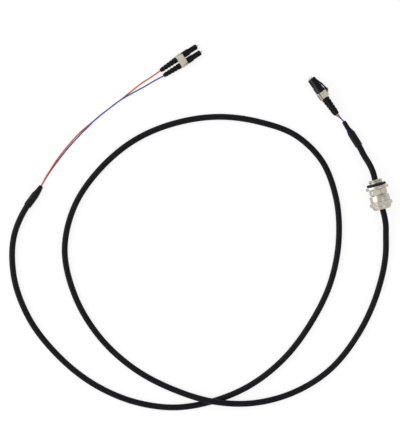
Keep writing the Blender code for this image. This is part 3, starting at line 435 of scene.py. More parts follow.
def rubbed_edge_group():
    """Broken wear on the faces that the pieces mark as edges."""
    group, w, start, end = new_group("rubbed_edge", {"Patch Size": 0.0008}, ["Rub"])
    patches = w.noise(start["Place"], w.per_metre(start["Patch Size"]), 4.0)
    worn = w.times(w.attribute("edge", "Fac"), w.fade(patches, 0.42, 0.7))
    w.feed(end["Rub"], worn)
    return group


def dust_group():
    """Sparse light specks on what faces up, thicker in some places than others."""
    group, w, start, end = new_group("settled_dust", {"Speck Size": 0.00016}, ["Dust"])
    scale = w.per_metre(start["Speck Size"])
    specks = w.fade(w.noise(start["Place"], scale, 1.0), 0.69, 0.76)
    drift = w.fade(w.noise(start["Place"], w.times(scale, 0.04), 2.0), 0.4, 0.7)
    facing = w.split(w.add("ShaderNodeNewGeometry").outputs["Normal"])
    upward = w.fade(facing["Z"], 0.2, 0.9)
    w.feed(end["Dust"], w.times(w.times(specks, drift), upward))
    return group


def drawn_line_group():
    """Faint lines along an extruded skin, read where the cord would lie straight."""
    sizes = {"Line Width": 0.00012, "Line Length": 0.02}
    masks = ["Lines", "Waves"]
    group, w, start, end = new_group("drawn_lines", sizes, masks, placed=False)
    straight = w.attribute("straight", "Vector")
    across = w.per_metre(start["Line Width"])
    along = w.per_metre(start["Line Length"])
    scale = w.add("ShaderNodeCombineXYZ", {0: across, 1: across, 2: along}).outputs[0]
    drawn = w.add("ShaderNodeMapping", {"Vector": straight, "Scale": scale})
    lines = w.noise(drawn.outputs["Vector"], 1.0, 2.0)
    w.feed(end["Lines"], w.fade(lines, 0.3, 0.7))
    w.feed(end["Waves"], w.noise(straight, w.times(along, 3.0), 2.0))
    return group


def turned_line_group():
    """Fine lathe lines: round the sides and in rings on the end faces."""
    sizes = {"Line Width": 0.00008}
    group, w, start, end = new_group("turned_lines", sizes, ["Lines", "Smudge"])
    along, radius = w.off_axis(start["Place"])
    line = w.add("ShaderNodeTexNoise", noise_dimensions="1D")
    w.feed(line.inputs["W"], w.maths("ADD", along, radius))
    w.feed(line.inputs["Scale"], w.per_metre(start["Line Width"]))
    line.inputs["Detail"].default_value = 2.0
    w.feed(end["Lines"], w.fade(line.outputs["Fac"], 0.3, 0.7))
    w.feed(end["Smudge"], w.fade(w.noise(start["Place"], 350.0, 3.0), 0.35, 0.7))
    return group


GRAIN = grain_group()
RUB = rubbed_edge_group()
DUST = dust_group()
DRAWN = drawn_line_group()
TURNED = turned_line_group()


def finish(name, roughness, metallic=0.0, specular=0.5):
    """A new Principled material with its plain values, and its wiring."""
    material = bpy.data.materials.new(name)
    material.use_nodes = True
    shader = material.node_tree.nodes["Principled BSDF"]
    shader.inputs["Roughness"].default_value = roughness
    shader.inputs["Metallic"].default_value = metallic
    shader.inputs["Specular IOR Level"].default_value = specular
    return material, Wiring(material.node_tree), shader


def press(w, shader, height, distance):
    """A bump of the given depth, in metres, on the shader."""
    bump = w.add("ShaderNodeBump", {"Height": height, "Strength": 1.0, "Distance": distance})
    w.feed(shader.inputs["Normal"], bump.outputs["Normal"])


def colour_with_dust(w, shader, place, tone, speck, amount):
    """The tone as base colour, with specks of dust over it."""
    dust = w.placed_group(DUST, Place=place)["Dust"]
    shade = w.times(dust, amount)
    w.feed(shader.inputs["Base Color"], w.blend(shade, tone, (*speck, 1.0)))


def cord_finish(name, dark, light, roughness, bump, specular):
    """Extruded skin: faint lines along it, slow tone changes, a little dust."""
    material, w, shader = finish(name, roughness[0], specular=specular)
    place = w.object_place()
    drawn = w.placed_group(DRAWN)
    tone = w.blend(w.fade(drawn["Waves"], 0.35, 0.65), (*dark, 1.0), (*light, 1.0))
    speck = [0.5 * value + 0.12 for value in light]
    colour_with_dust(w, shader, place, tone, speck, 0.5)
    w.feed(shader.inputs["Roughness"], w.fade(drawn["Lines"], 0.0, 1.0, *roughness))
    fine = w.placed_group(GRAIN, Place=place, Grain_Size=0.00012)["Grain"]
    height = w.maths("ADD", drawn["Lines"], w.times(fine, 0.35))
    press(w, shader, height, bump)
    return material


def moulded_finish(name, dark, light, worn, roughness, bump, specular):
    """Moulded plastic: fine grain, clouds of tone, rubbed edges and dust."""
    material, w, shader = finish(name, roughness[0], specular=specular)
    place = w.object_place()
    pattern = w.placed_group(GRAIN, Place=place)
    rub = w.placed_group(RUB, Place=place)["Rub"]
    tone = w.blend(pattern["Cloud"], (*dark, 1.0), (*light, 1.0))
    tone = w.blend(rub, tone, (*worn, 1.0))
    speck = [0.6 * value + 0.14 for value in light]
    colour_with_dust(w, shader, place, tone, speck, 0.45)
    matt = w.fade(pattern["Cloud"], 0.0, 1.0, *roughness)
    polished = w.maths("SUBTRACT", matt, w.times(rub, 0.1))
    w.feed(shader.inputs["Roughness"], polished)
    press(w, shader, pattern["Grain"], bump)
    return material


def metal_finish(name, dark, light, worn, roughness, bump, line_width):
    """Turned metal: lathe lines, smudges of handling and brighter edges."""
    material, w, shader = finish(name, roughness[0], 1.0)
    place = w.object_place()
    turned = w.placed_group(TURNED, Place=place, Line_Width=line_width)
    rub = w.placed_group(RUB, Place=place, Patch_Size=0.0015)["Rub"]
    tone = w.blend(turned["Smudge"], (*light, 1.0), (*dark, 1.0))
    tone = w.blend(w.times(rub, 0.6), tone, (*worn, 1.0))
    w.feed(shader.inputs["Base Color"], tone)
    lined = w.maths("ADD", w.times(turned["Lines"], 0.35), turned["Smudge"])
    w.feed(shader.inputs["Roughness"], w.fade(lined, 0.0, 1.35, *roughness))
    press(w, shader, turned["Lines"], bump)
    return material


def ceramic_finish():
    """Polished white ferrule with the fibre's end as a dot in its middle."""
    material, w, shader = finish("white_ceramic", 0.12, specular=0.6)
    place = w.object_place()
    dot = w.fade(w.off_axis(place)[1], 0.00007, 0.00006)
    cloud = w.placed_group(GRAIN, Place=place, Cloud_Size=0.0015)["Cloud"]
    tone = w.blend(cloud, (0.86, 0.86, 0.83, 1.0), (0.90, 0.90, 0.88, 1.0))
    w.feed(shader.inputs["Base Color"], w.blend(dot, tone, (0.16, 0.17, 0.2, 1.0)))
    w.feed(shader.inputs["Roughness"], w.fade(cloud, 0.0, 1.0, 0.1, 0.2))
    press(w, shader, w.noise(place, 9000.0, 2.0), 0.0000004)
    return material


def make_finishes():
    """Every finish by the record's slot name."""
    finishes = {"white_ceramic": ceramic_finish()}
    kinds = [
        (cord_finish, CORD_FINISHES),
        (moulded_finish, MOULDED_FINISHES),
        (metal_finish, METAL_FINISHES),
    ]
    for make, rows in kinds:
        for name, values in rows.items():
            finishes[name] = make(name, *values)
    return finishes


clear_start()
add_camera()
FINISHES = make_finishes()


def smooth_route(points, step):
    """Points along one smooth curve through the given ones, ends included."""
    points = [Vector(point) for point in points]
    spans = [(b - a).length for a, b in zip(points, points[1:])]
    slopes = [(b - a) / span for a, b, span in zip(points, points[1:], spans)]
    tangents = [slopes[0]]
    for i in range(1, len(points) - 1):
        before = spans[i - 1]
        after = spans[i]
        tangents.append((slopes[i - 1] * after + slopes[i] * before) / (before + after))
    tangents.append(slopes[-1])
    route = [points[0]]
    for i, span in enumerate(spans):
        pieces = max(1, round(span / step))
        for k in range(1, pieces + 1):
            t = k / pieces
            route.append(
                points[i] * (2 * t**3 - 3 * t**2 + 1)
                + tangents[i] * span * (t**3 - 2 * t**2 + t)
                + points[i + 1] * (3 * t**2 - 2 * t**3)
                + tangents[i + 1] * span * (t**3 - t**2)
            )
    return route


def route_length(route):
    return sum((b - a).length for a, b in zip(route, route[1:]))


def held(value):
    """The value, kept from 0 to 1."""
    return max(0.0, min(1.0, value))


def shade_faces(mesh, sharp_from):
    """Smooth shading, split where faces meet at more than this many degrees."""
    mesh.shade_smooth()
    mesh.set_sharp_from_angle(angle=math.radians(sharp_from))
    return mesh


def outward(mesh, sharp_from, weld=False):
    """Turns the faces outward and shades them, double vertices made one first."""
    bm = bmesh.new()
    bm.from_mesh(mesh)
    if weld:
        bmesh.ops.remove_doubles(bm, verts=bm.verts, dist=0.0000005)
    bmesh.ops.recalc_face_normals(bm, faces=bm.faces)
    bm.to_mesh(mesh)
    bm.free()
    return shade_faces(mesh, sharp_from)


def band(a, b, count):
    """The faces between two rings of vertices that start at a and at b."""
    nexts = [(k + 1) % count for k in range(count)]
    return [(a + k, a + m, b + m, b + k) for k, m in enumerate(nexts)]


def swept_mesh(name, route, radius, sides, lining=None):
    """A tube along a route.

    radius is a number or radius(i, angle). lining is the inner radius at each
    point of an open sleeve, and without it the ends are capped. The straight
    attribute holds each vertex where the tube would lie straight along z.
    """
    count = len(route)
    along = [0.0]
    for a, b in zip(route, route[1:]):
        along.append(along[-1] + (b - a).length)
    forward = [
        (route[min(i + 1, count - 1)] - route[max(i - 1, 0)]).normalized()
        for i in range(count)
    ]
    side = forward[0].cross(Vector((0.0, 0.0, 1.0))).normalized()
    skins = [radius] if lining is None else [radius, lambda i, angle: lining[i]]
    sides_of = []
    for i in range(count):
        if i:
            side = forward[i - 1].rotation_difference(forward[i]) @ side
        side = (side - forward[i] * side.dot(forward[i])).normalized()
        sides_of.append((side.copy(), forward[i].cross(side)))
    vertices = []
    straight = []
    for skin in skins:
        for i in range(count):
            across, up = sides_of[i]
            for k in range(sides):
                angle = math.tau * k / sides
                r = skin(i, angle) if callable(skin) else skin
                offset = across * math.cos(angle) + up * math.sin(angle)
                vertices.append(route[i] + offset * r)
                straight.append((r * math.cos(angle), r * math.sin(angle), along[i]))
    faces = []
    inner = count * sides
    last = inner - sides
    for skin in range(len(skins)):
        for i in range(count - 1):
            start = skin * inner + i * sides
            faces += band(start, start + sides, sides)
    if lining is None:
        faces += [tuple(range(sides)), tuple(range(last, inner))]
    else:
        faces += band(0, inner, sides) + band(last, last + inner, sides)
    mesh = bpy.data.meshes.new(name)
    mesh.from_pydata(vertices, [], faces)
    layer = mesh.attributes.new("straight", "FLOAT_VECTOR", "POINT")
    for entry, value in zip(layer.data, straight):
        entry.vector = value
    return outward(mesh, 50.0)


def rounded(corners, fillet, closed=True):
    """A profile with its corners turned into small arcs.

    Returns (x, radius, in_arc) points. A corner may carry its own fillet.
    """
    points = []
    count = len(corners)
    for i, corner in enumerate(corners):
        here = Vector(corner[:2])
        cut = corner[2] if len(corner) > 2 else fillet
        if not closed and i in (0, count - 1):
            points.append((here.x, here.y, False))
            continue
        before = Vector(corners[i - 1][:2]) - here
        after = Vector(corners[(i + 1) % count][:2]) - here
        turn = math.pi - before.angle(after)
        if cut <= 0.0 or turn < 0.05:
            points.append((here.x, here.y, False))
            continue
        cut = min(cut, 0.45 * before.length, 0.45 * after.length)
        start = here + before.normalized() * cut
        stop = here + after.normalized() * cut
        for k in range(4):
            t = k / 3
            spot = start * (1 - t) ** 2 + here * (2 * t * (1 - t)) + stop * t**2
            points.append((spot.x, spot.y, True))
    return points


def open_profile(corners):
    """Part of a turned outline; only a corner with a fillet of its own is rounded."""
    return rounded(corners, 0.0, closed=False)


def ring_mesh(name, rings, around, start=0.0, closed=True, sharp_from=32.0):
    """A shell of rings about x.

    A ring is (x, radius, in_arc), where x and radius are numbers or functions of
    the angle from +z towards +y. Faces between two arc rings are marked as edges.
    """
    vertices = []
    for x, radius, _ in rings:
        for k in range(around):
            angle = start + math.tau * k / around
            r = radius(angle) if callable(radius) else radius
            along = x(angle) if callable(x) else x
            vertices.append((along, r * math.sin(angle), r * math.cos(angle)))
    count = len(rings)
    faces = []
    marks = []
    for i in range(count if closed else count - 1):
        j = (i + 1) % count
        faces += band(i * around, j * around, around)
        marks += [1.0 if rings[i][2] and rings[j][2] else 0.0] * around
    if not closed:
        for i in (0, count - 1):
            faces.append(tuple(range(i * around, (i + 1) * around)))
            marks.append(0.0)
    mesh = bpy.data.meshes.new(name)
    mesh.from_pydata(vertices, [], faces)
    layer = mesh.attributes.new("edge", "FLOAT", "FACE")
    layer.data.foreach_set("value", marks)
    return outward(mesh, sharp_from, weld=True)


def turned_mesh(name, corners, fillet, around=64, closed=True):
    return ring_mesh(name, rounded(corners, fillet, closed=closed), around, closed=closed)


def mark_narrow_faces(mesh, width):
    """Marks the bevel strips, which are the narrow faces, as edges."""
    layer = mesh.attributes.get("edge") or mesh.attributes.new("edge", "FLOAT", "FACE")
    marks = []
    for face in mesh.polygons:
        corners = [mesh.vertices[i].co for i in face.vertices]
        rim = sum((a - b).length for a, b in zip(corners, corners[1:] + corners[:1]))
        marks.append(1.0 if 2.0 * face.area / rim < width else 0.0)
    layer.data.foreach_set("value", marks)


def show(name, mesh, slot, body, node, place=None):
    """One piece of the scene, finished, riding on its body in the node's place."""
    piece = place_in_scene(name, mesh)
    if not mesh.materials:
        mesh.materials.append(FINISHES[slot])
    if place is not None:
        piece.matrix_world = place
    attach(piece, body)
    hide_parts(node)
    return piece


def show_tube(name, slot, node, route, radius, sides, lining=None):
    mesh = swept_mesh(name, route, radius, sides, lining)
    return show(name, mesh, slot, "cable", node)


# Frames of the plugs and the gland


def pair_frame(pair):
    at, roll, heading = pair
    turn = Euler((roll, 0.0, heading)).to_matrix().to_4x4()
    return Matrix.Translation(at) @ turn


def plug_frame(pair, side):
    return pair_frame(pair) @ Matrix.Translation((0.0, side * PLUG_PITCH / 2, 0.0))


def boot_frame(pair, side):
    lean = Matrix.Rotation(side * BOOT_LEAN, 4, "Z")
    return plug_frame(pair, side) @ Matrix.Translation((BOOT_FRONT, 0.0, 0.0)) @ lean


GLAND_FRAME = Matrix.Translation(GLAND_AT) @ Matrix.Rotation(GLAND_HEADING, 4, "Z")


# The cable and the fibres


def show_cable():
    """The jacket; where its smooth curve would dip, it rests on the surface."""
    route = CABLE_ROUTE + [GLAND_FRAME @ Vector((x, 0.0, 0.0)) for x in GLAND_STATIONS]
    path = smooth_route(route + AFTER_GLAND, 0.0018)
    for point in path:
        point.z = max(point.z, JACKET_LIE)
    radius = JACKET_DIAMETER / 2
    return show_tube("cable", "black_jacket", "cable_jacket", path, radius, 28), path


def taper_radius(taper, share):
    """The sleeve's radius at a share of its way from the fibres to the jacket."""
    for (a, low), (b, high) in zip(taper, taper[1:]):
        if share <= b:
            t = (share - a) / (b - a)
            grown = low + (high - low) * t * t * (3 - 2 * t)
            return SLEEVE_TIP_RADIUS + (SLEEVE_RADIUS - SLEEVE_TIP_RADIUS) * grown
    return SLEEVE_RADIUS


def show_sleeve(end, parts):
    """The shrunk tube: smooth over the jacket, drawn in folds over the fibres."""
    over_fibres = smooth_route(parts["sleeve"], 0.0004)
    past = [over_fibres[-1].lerp(Vector(parts["sleeve_end"]), k / 24) for k in range(1, 25)]
    route = over_fibres + past
    total = route_length(over_fibres)
    outer = []
    folds = []
    walked = 0.0
    for i, here in enumerate(route):
        if i:
            walked += (here - route[i - 1]).length
        share = min(1.0, walked / total)
        outer.append(taper_radius(parts["taper"], share))
        folds.append(math.sin(math.pi * min(1.0, share * 1.05)) ** 2)
    for i in range(SLEEVE_LIP_RINGS):
        drop = SLEEVE_LIP * (1 - i / SLEEVE_LIP_RINGS) ** 2
        outer[i] -= drop
        outer[-1 - i] -= drop
    lining = [r - SLEEVE_WALL for r in outer]

    def skin(i, angle):
        wave = math.sin(5 * angle + 0.06 * i) + 0.5 * math.sin(9 * angle - 0.11 * i)
        return outer[i] + folds[i] * SLEEVE_FOLD * wave

    node = f"{end}_breakout_sleeve"
    show_tube(node + "_skin", "shrink_sleeve", node, route, skin, 40, lining)


def fibre_in_plug(pair, side):
    """The hidden stretch of a fibre, from behind the ferrule to the boot's end."""
    y = side * PLUG_PITCH / 2
    lean = side * math.tan(BOOT_LEAN)
    barrel_back = CLIP_BACK + GAP - BARREL_LENGTH
    boot_back = BOOT_FRONT - BOOT_LENGTH
    halfway = (barrel_back + boot_back) / 2
    places = [
        (SPRING_BACK - FIBRE_BEHIND_SPRING, y, 0.0),
        (barrel_back, y, 0.0),
        (halfway, y - lean * (BOOT_FRONT - halfway), 0.0),
        (boot_back, y - lean * BOOT_LENGTH, 0.0),
    ]
    return [pair_frame(pair) @ Vector(place) for place in places]


def show_fibre(end, parts, side, colour):
    """One leg, from its plug into the sleeve, where that of the +y side lies above."""
    lift = Vector((0.0, 0.0, side * FIBRE_PAIR_SPACING / 2))
    in_sleeve = [Vector(point) + lift for point in parts["sleeve"]]
    away = (in_sleeve[-2] - in_sleeve[-1]).normalized()
    in_sleeve[-1] = in_sleeve[-1] + away * GAP
    route = fibre_in_plug(parts["plugs"], side) + parts["fibres"][colour] + in_sleeve
    path = smooth_route(route, 0.0014)
    name = f"{end}_{colour}"
    radius = FIBRE_DIAMETER / 2
    leg = show_tube(name + "_leg", colour + "_buffer", name + "_fibre", path, radius, 14)
    return leg, path


# The plug


def solid_mesh(name, bm, bevel=0.0, segments=3):
    """The mesh of a solid, with every edge rounded."""
    if bevel > 0.0:
        bmesh.ops.bevel(
            bm, geom=list(bm.edges), offset=bevel, segments=segments, profile=0.5, affect="EDGES"
        )
    mesh = bpy.data.meshes.new(name)
    bm.to_mesh(mesh)
    bm.free()
    return mesh


def box_solid(name, along, half_width, upward, bevel, segments=3, y=0.0):
    """A box with x and z from and to, as far to both sides of y, its edges rounded."""
    low = Vector((along[0], y - half_width, upward[0]))
    high = Vector((along[1], y + half_width, upward[1]))
    bm = bmesh.new()
    bmesh.ops.create_cube(bm, size=1.0)
    bmesh.ops.scale(bm, vec=high - low, verts=bm.verts)
    bmesh.ops.translate(bm, vec=(low + high) / 2, verts=bm.verts)
    return solid_mesh(name, bm, bevel, segments)


def side_solid(name, outline, width, bevel, segments=2):
    """An outline in x and z, as wide as given along y, with its rim bevelled."""
    bm = bmesh.new()
    near = [bm.verts.new((x, -width / 2, z)) for x, z in outline]
    far = [bm.verts.new((x, width / 2, z)) for x, z in outline]
    bm.faces.new(near)
    bm.faces.new(far)
    count = len(outline)
    for i in range(count):
        j = (i + 1) % count
        bm.faces.new((near[i], near[j], far[j], far[i]))
    bmesh.ops.recalc_face_normals(bm, faces=bm.faces)
    return solid_mesh(name, bm, bevel, segments)


def joined(name, start, added, cuts, edge_width):
    """A solid with others added, then others cut out, its narrow faces marked."""
    work = place_in_scene(name, start)
    steps = [("UNION", solid) for solid in added]
    steps += [("DIFFERENCE", solid) for solid in cuts]
    tools = []
    for i, (operation, solid) in enumerate(steps):
        tool = place_in_scene(f"{name}_tool_{i}", solid)
        tools.append(tool)
        boolean = work.modifiers.new(f"step_{i}", "BOOLEAN")
        boolean.operation = operation
        boolean.solver = "EXACT"
        boolean.object = tool
    bpy.context.view_layer.update()
    depsgraph = bpy.context.evaluated_depsgraph_get()
    mesh = bpy.data.meshes.new_from_object(work.evaluated_get(depsgraph))
    for leftover in [work] + tools:
        bpy.data.objects.remove(leftover, do_unlink=True)
    mesh.name = name
    mark_narrow_faces(mesh, edge_width)
    return shade_faces(mesh, 28.0)


def housing_mesh():
    """Nose, shoulder and latch arm with its lugs, thumb pad and snap windows."""
    nose = box_solid("nose", (-0.0142, 0.0), NOSE_HALF, (-NOSE_HALF, NOSE_HALF), HOUSING_EDGE)
    for corner in nose.vertices:
        if corner.co.x > -HOUSING_EDGE / 4:
            corner.co.yz = NOSE_FACE_SHARE * corner.co.yz
        elif corner.co.x > -HOUSING_EDGE * 1.5:
            corner.co.x -= NOSE_TAPER
    shoulder = (-HOUSING_LENGTH, -NOSE_LENGTH)
    latch_arm = [
        (-0.0019, 0.00205), (-0.0022, 0.00245), (-0.0086, 0.00448), (-0.0126, 0.00525),
        (-0.0154, 0.00525), (-0.0154, 0.00455), (-0.0126, 0.00455), (-0.0086, 0.00378),
        (-0.0039, 0.00205),
    ]
    added = [
        box_solid("shoulder", shoulder, SHOULDER_HALF, (-0.00255, 0.00255), HOUSING_EDGE),
        side_solid("arm", latch_arm, 0.0027, LATCH_EDGE),
        box_solid("thumb", (-0.01555, -0.01265), 0.0019, (0.0045, 0.0053), 0.00014),
        box_solid("lugs", (-0.0093, -0.0079), 0.0023, (0.00368, 0.00438), LATCH_EDGE),
    ]
    window = ("window", (-0.0126, -0.0102), 0.00022, (-0.0012, 0.0012), FINE_EDGE)
    seam = ("seam", (-0.0082, -0.0012), 0.00007, (-0.00012, 0.00012), 0.0)
    cuts = []
    for side in (-1, 1):
        cuts.append(box_solid(*window, y=side * SHOULDER_HALF))
        cuts.append(box_solid(*seam, y=side * NOSE_HALF))
    cuts.append(box_solid("recess", (-0.0076, -0.0030), 0.0012, (-0.0024, -0.0021), FINE_EDGE))
    for i in range(GROOVES):
        along = (-0.01342 - i * GROOVE_STEP, -0.01318 - i * GROOVE_STEP)
        cuts.append(box_solid("groove", along, 0.0016, (0.00522, 0.0056), 0.0))
    bore = [
        (0.0003, 0.0018), (-0.0003, 0.0015), (-0.0056, 0.0015), (-0.0056, 0.0011),
        (-0.0064, 0.0011), (-0.0064, 0.0018), (-0.0148, 0.0018),
    ]
    cuts.append(turned_mesh("bore", bore, 0.0, 48, closed=False))
    return joined("plug_housing_shell", nose, added, cuts, 0.00011)


def clip_mesh():
    """Two windows for the plugs, slots below them and the trigger over both."""
    half_window = BLOCK_WIDTH / 2 + GAP
    through = (CLIP_BACK - OVERCUT, CLIP_FRONT + OVERCUT)
    height = (-CLIP_HALF_HEIGHT, CLIP_HALF_HEIGHT)
    block = box_solid("block", (CLIP_BACK, CLIP_FRONT), CLIP_HALF_WIDTH, height, 0.0004, 4)
    foot = CLIP_HALF_HEIGHT - 0.0002
    trigger = [
        (-0.0202, foot), (-0.0158, 0.0063), (-0.0145, 0.0063), (-0.0143, 0.0061),
        (-0.0143, 0.00555), (-0.0158, 0.00555), (-0.019075, foot),
    ]
    added = [
        side_solid("trigger", trigger, 0.0088, 0.00012),
        box_solid("rib", (-0.01527, -0.01503), 0.0036, (0.00602, 0.00642), 0.00005, 2),
    ]
    window = ("window", through, half_window, (-half_window, half_window), 0.0)
    below = (-CLIP_HALF_HEIGHT - OVERCUT, -half_window + OVERCUT)
    grip = ("grip", (-0.0193, -0.0161), 0.00012, (-0.0018, 0.0018), 0.00008, 2)
    cuts = []
    for side in (-1, 1):
        y = side * PLUG_PITCH / 2
        cuts.append(box_solid(*window, y=y))
        cuts.append(box_solid("slot", through, 0.0014, below, 0.0, y=y))
        cuts.append(box_solid(*grip, y=side * CLIP_HALF_WIDTH))
    return joined("duplex_clip_shell", block, added, cuts, 0.00016)


def boot_radius(along):
    """The boot's radius without its cuts: a long taper, then a nose."""
    nose = BOOT_LENGTH - BOOT_NOSE
    if along <= nose:
        return BOOT_ROOT_RADIUS - (BOOT_ROOT_RADIUS - BOOT_WAIST_RADIUS) * along / nose
    share = ((along - nose) / BOOT_NOSE) ** 1.5
    return BOOT_WAIST_RADIUS - (BOOT_WAIST_RADIUS - BOOT_TIP_RADIUS) * share


def cut_boot_radius(along):
    """The boot's radius for each angle, with the cuts that lie at this length."""
    rib = (along - BOOT_COLLAR) / ((BOOT_LENGTH - BOOT_COLLAR - BOOT_NOSE) / BOOT_CUTS)
    off = abs(rib - math.floor(rib) - BOOT_CUT_MIDDLE) / BOOT_CUT_SHARE
    cut = held((0.5 - off) * 6.0) if 0.0 < rib < BOOT_CUTS else 0.0
    turned = math.floor(rib) % 2 * math.pi / 2

    def radius(angle):
        facing = abs(math.cos(angle - turned))
        open_side = held((facing - BOOT_CUT_FACING) * 7.0)
        return boot_radius(along) - BOOT_CUT_DEPTH * cut * open_side

    return radius


def boot_mesh():
    """A long rubber taper: a collar, ribs cut through in turns, and a closed nose."""
    collar = boot_radius(0.0)
    rings = [(0.0, BOOT_BORE_RADIUS, False), (0.0, collar - BOOT_EDGE, True)]
    for k in range(1, 4):
        t = k / 3
        rings.append((-BOOT_EDGE * t, collar - BOOT_EDGE * (1 - t) ** 2, True))
    count = 150
    for k in range(1, count):
        along = BOOT_EDGE + (BOOT_LENGTH - 2 * BOOT_EDGE) * k / count
        rings.append((-along, cut_boot_radius(along), False))
    for k in range(5):
        t = k / 4
        tip = BOOT_TIP_RADIUS - BOOT_TIP_EDGE * t**2
        rings.append((-BOOT_LENGTH + BOOT_EDGE * (1 - t), tip, True))
    step = -BOOT_LENGTH + BOOT_HOLE_LENGTH
    rings += [(-BOOT_LENGTH, BOOT_HOLE_RADIUS, False), (step, BOOT_HOLE_RADIUS, False)]
    rings.append((step, BOOT_BORE_RADIUS, False))
    return ring_mesh("boot_shell", rings, 72, sharp_from=40.0)


def ferrule_mesh():
    """A round bar with a crowned face; its first and last ring nearly close it."""
    corners = [
        (FERRULE_FRONT, 0.0),
        (FERRULE_FRONT, FERRULE_FACE_RADIUS),
        (FERRULE_FRONT - FERRULE_CHAMFER, FERRULE_RADIUS, FERRULE_CHAMFER),
        (FERRULE_BACK, FERRULE_RADIUS),
        (FERRULE_BACK, 0.0),
    ]
    rings = []
    for radius in (FERRULE_CORE, 0.0001, 0.0002, 0.0003):
        sunk = 0.00006 * (radius / 0.0004) ** 2
        rings.append((FERRULE_FRONT - sunk, radius, False))
    rings += rounded(corners, 0.00004, closed=False)[1:-1]
    rings.append((FERRULE_BACK, FERRULE_CORE, False))
    return ring_mesh("ferrule_shell", rings, 40, closed=False)


def flange_mesh():
    """The ferrule's collar with its groove, and the tube behind it."""
    corners = [
        (-0.0067, 0.0015), (-0.0075, 0.0015), (-0.0076, 0.0014), (-0.0080, 0.0014),
        (-0.0081, 0.0015), (-0.0087, 0.0015), (-0.0087, 0.0008), (-0.0115, 0.0008),
        (-0.0115, 0.0005), (-0.0084, 0.0005), (-0.0084, 0.000925), (-0.0067, 0.000925),
    ]
    return turned_mesh("flange_shell", corners, FINE_EDGE, 40)


def spring_mesh():
    """A wire coil whose end turns lie flat."""
    front = SPRING_FRONT - WIRE_RADIUS
    back = SPRING_BACK + WIRE_RADIUS
    flat = SPRING_FLAT_TURNS
    reach = back - front + 2 * WIRE_FLAT_RISE * flat
    path = []
    count = 200
    for i in range(count + 1):
        turn = SPRING_TURNS * i / count
        share = held((turn - flat) / (SPRING_TURNS - 2 * flat))
        flat_turns = min(turn, flat) + max(0.0, turn - SPRING_TURNS + flat)
        x = front - WIRE_FLAT_RISE * flat_turns + reach * share
        angle = math.tau * turn
        y = SPRING_RADIUS * math.cos(angle)
        path.append(Vector((x, y, SPRING_RADIUS * math.sin(angle))))
    return swept_mesh("spring_coil", path, WIRE_SKIN_RADIUS, 8)


def show_plug(name, pair, side, meshes):
    """One plug and its boot; its ferrule and flange ride together on their slide."""
    place = plug_frame(pair, side)
    moving = f"{name}_ferrule_group"
    rows = [
        ("housing_shell", "black_moulding", "cable", place, "plug_housing"),
        ("boot_shell", "black_boot", "cable", boot_frame(pair, side), "boot"),
        ("ferrule_shell", "white_ceramic", moving, place, "ferrule"),
        ("flange_shell", "bright_steel", moving, place, "ferrule_flange"),
        ("spring_coil", "bright_steel", "cable", place, "ferrule_spring"),
    ]
    pieces = []
    for kind, slot, body, at, node in rows:
        piece = show(f"{name}_{kind}", meshes[kind], slot, body, f"{name}_{node}", at)
        pieces.append(piece)
    coil = pieces[-1]
    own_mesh(coil)
    return pieces + [frame["nodes"][f"{name}_plug_back_body"]]


# The gland


def hexagon_radius(flats, corner_at):
    """Distance to a hexagon's side at an angle, its corners a little rounded."""
    limit = flats / math.sqrt(3.0) * HEXAGON_CORNER_SHARE
    sixth = math.pi / 3

    def radius(angle):
        off = (angle - corner_at) % sixth - sixth / 2
        return min(flats / 2 / math.cos(off), limit)

    return radius


def thread_radius(x, crest, depth):
    """A right-hand thread's radius at x, for each angle."""

    def radius(angle):
        phase = (x / THREAD_PITCH + angle / math.tau) % 1.0
        root = 1.0 - abs(2.0 * phase - 1.0)
        return crest - depth * held((root - 0.12) / 0.76)

    return radius


def thread_rings(x_from, x_to, crest, depth, fade_in, fade_out):
    """Rings over a threaded stretch; the thread runs out over a share at each end."""
    count = round(abs(x_to - x_from) / THREAD_STEP)
    rings = []
    for k in range(count + 1):
        x = x_from + (x_to - x_from) * k / count
        grown = min(1.0, k / count / fade_in) * min(1.0, (count - k) / count / fade_out)
        rings.append((x, thread_radius(x, crest, depth * grown), False))
    return rings


def hexagon_rings(x_low, x_high, flats, corner_at, foot):
    """Rings over a hexagon from its high end to its low one, both chamfered.

    foot is the round radius that it stands on.
    """
    hexagon = hexagon_radius(flats, corner_at)
    low_circle = flats / 2 - HEXAGON_FACE_INSET

    def inset(angle):
        return (hexagon(angle) - low_circle) / HEXAGON_CHAMFER

    return [
        (x_high, max(foot, low_circle), True),
        (lambda angle: x_high - inset(angle), hexagon, True),
        (lambda angle: x_low + inset(angle), hexagon, True),
        (x_low, max(foot, low_circle), True),
    ]


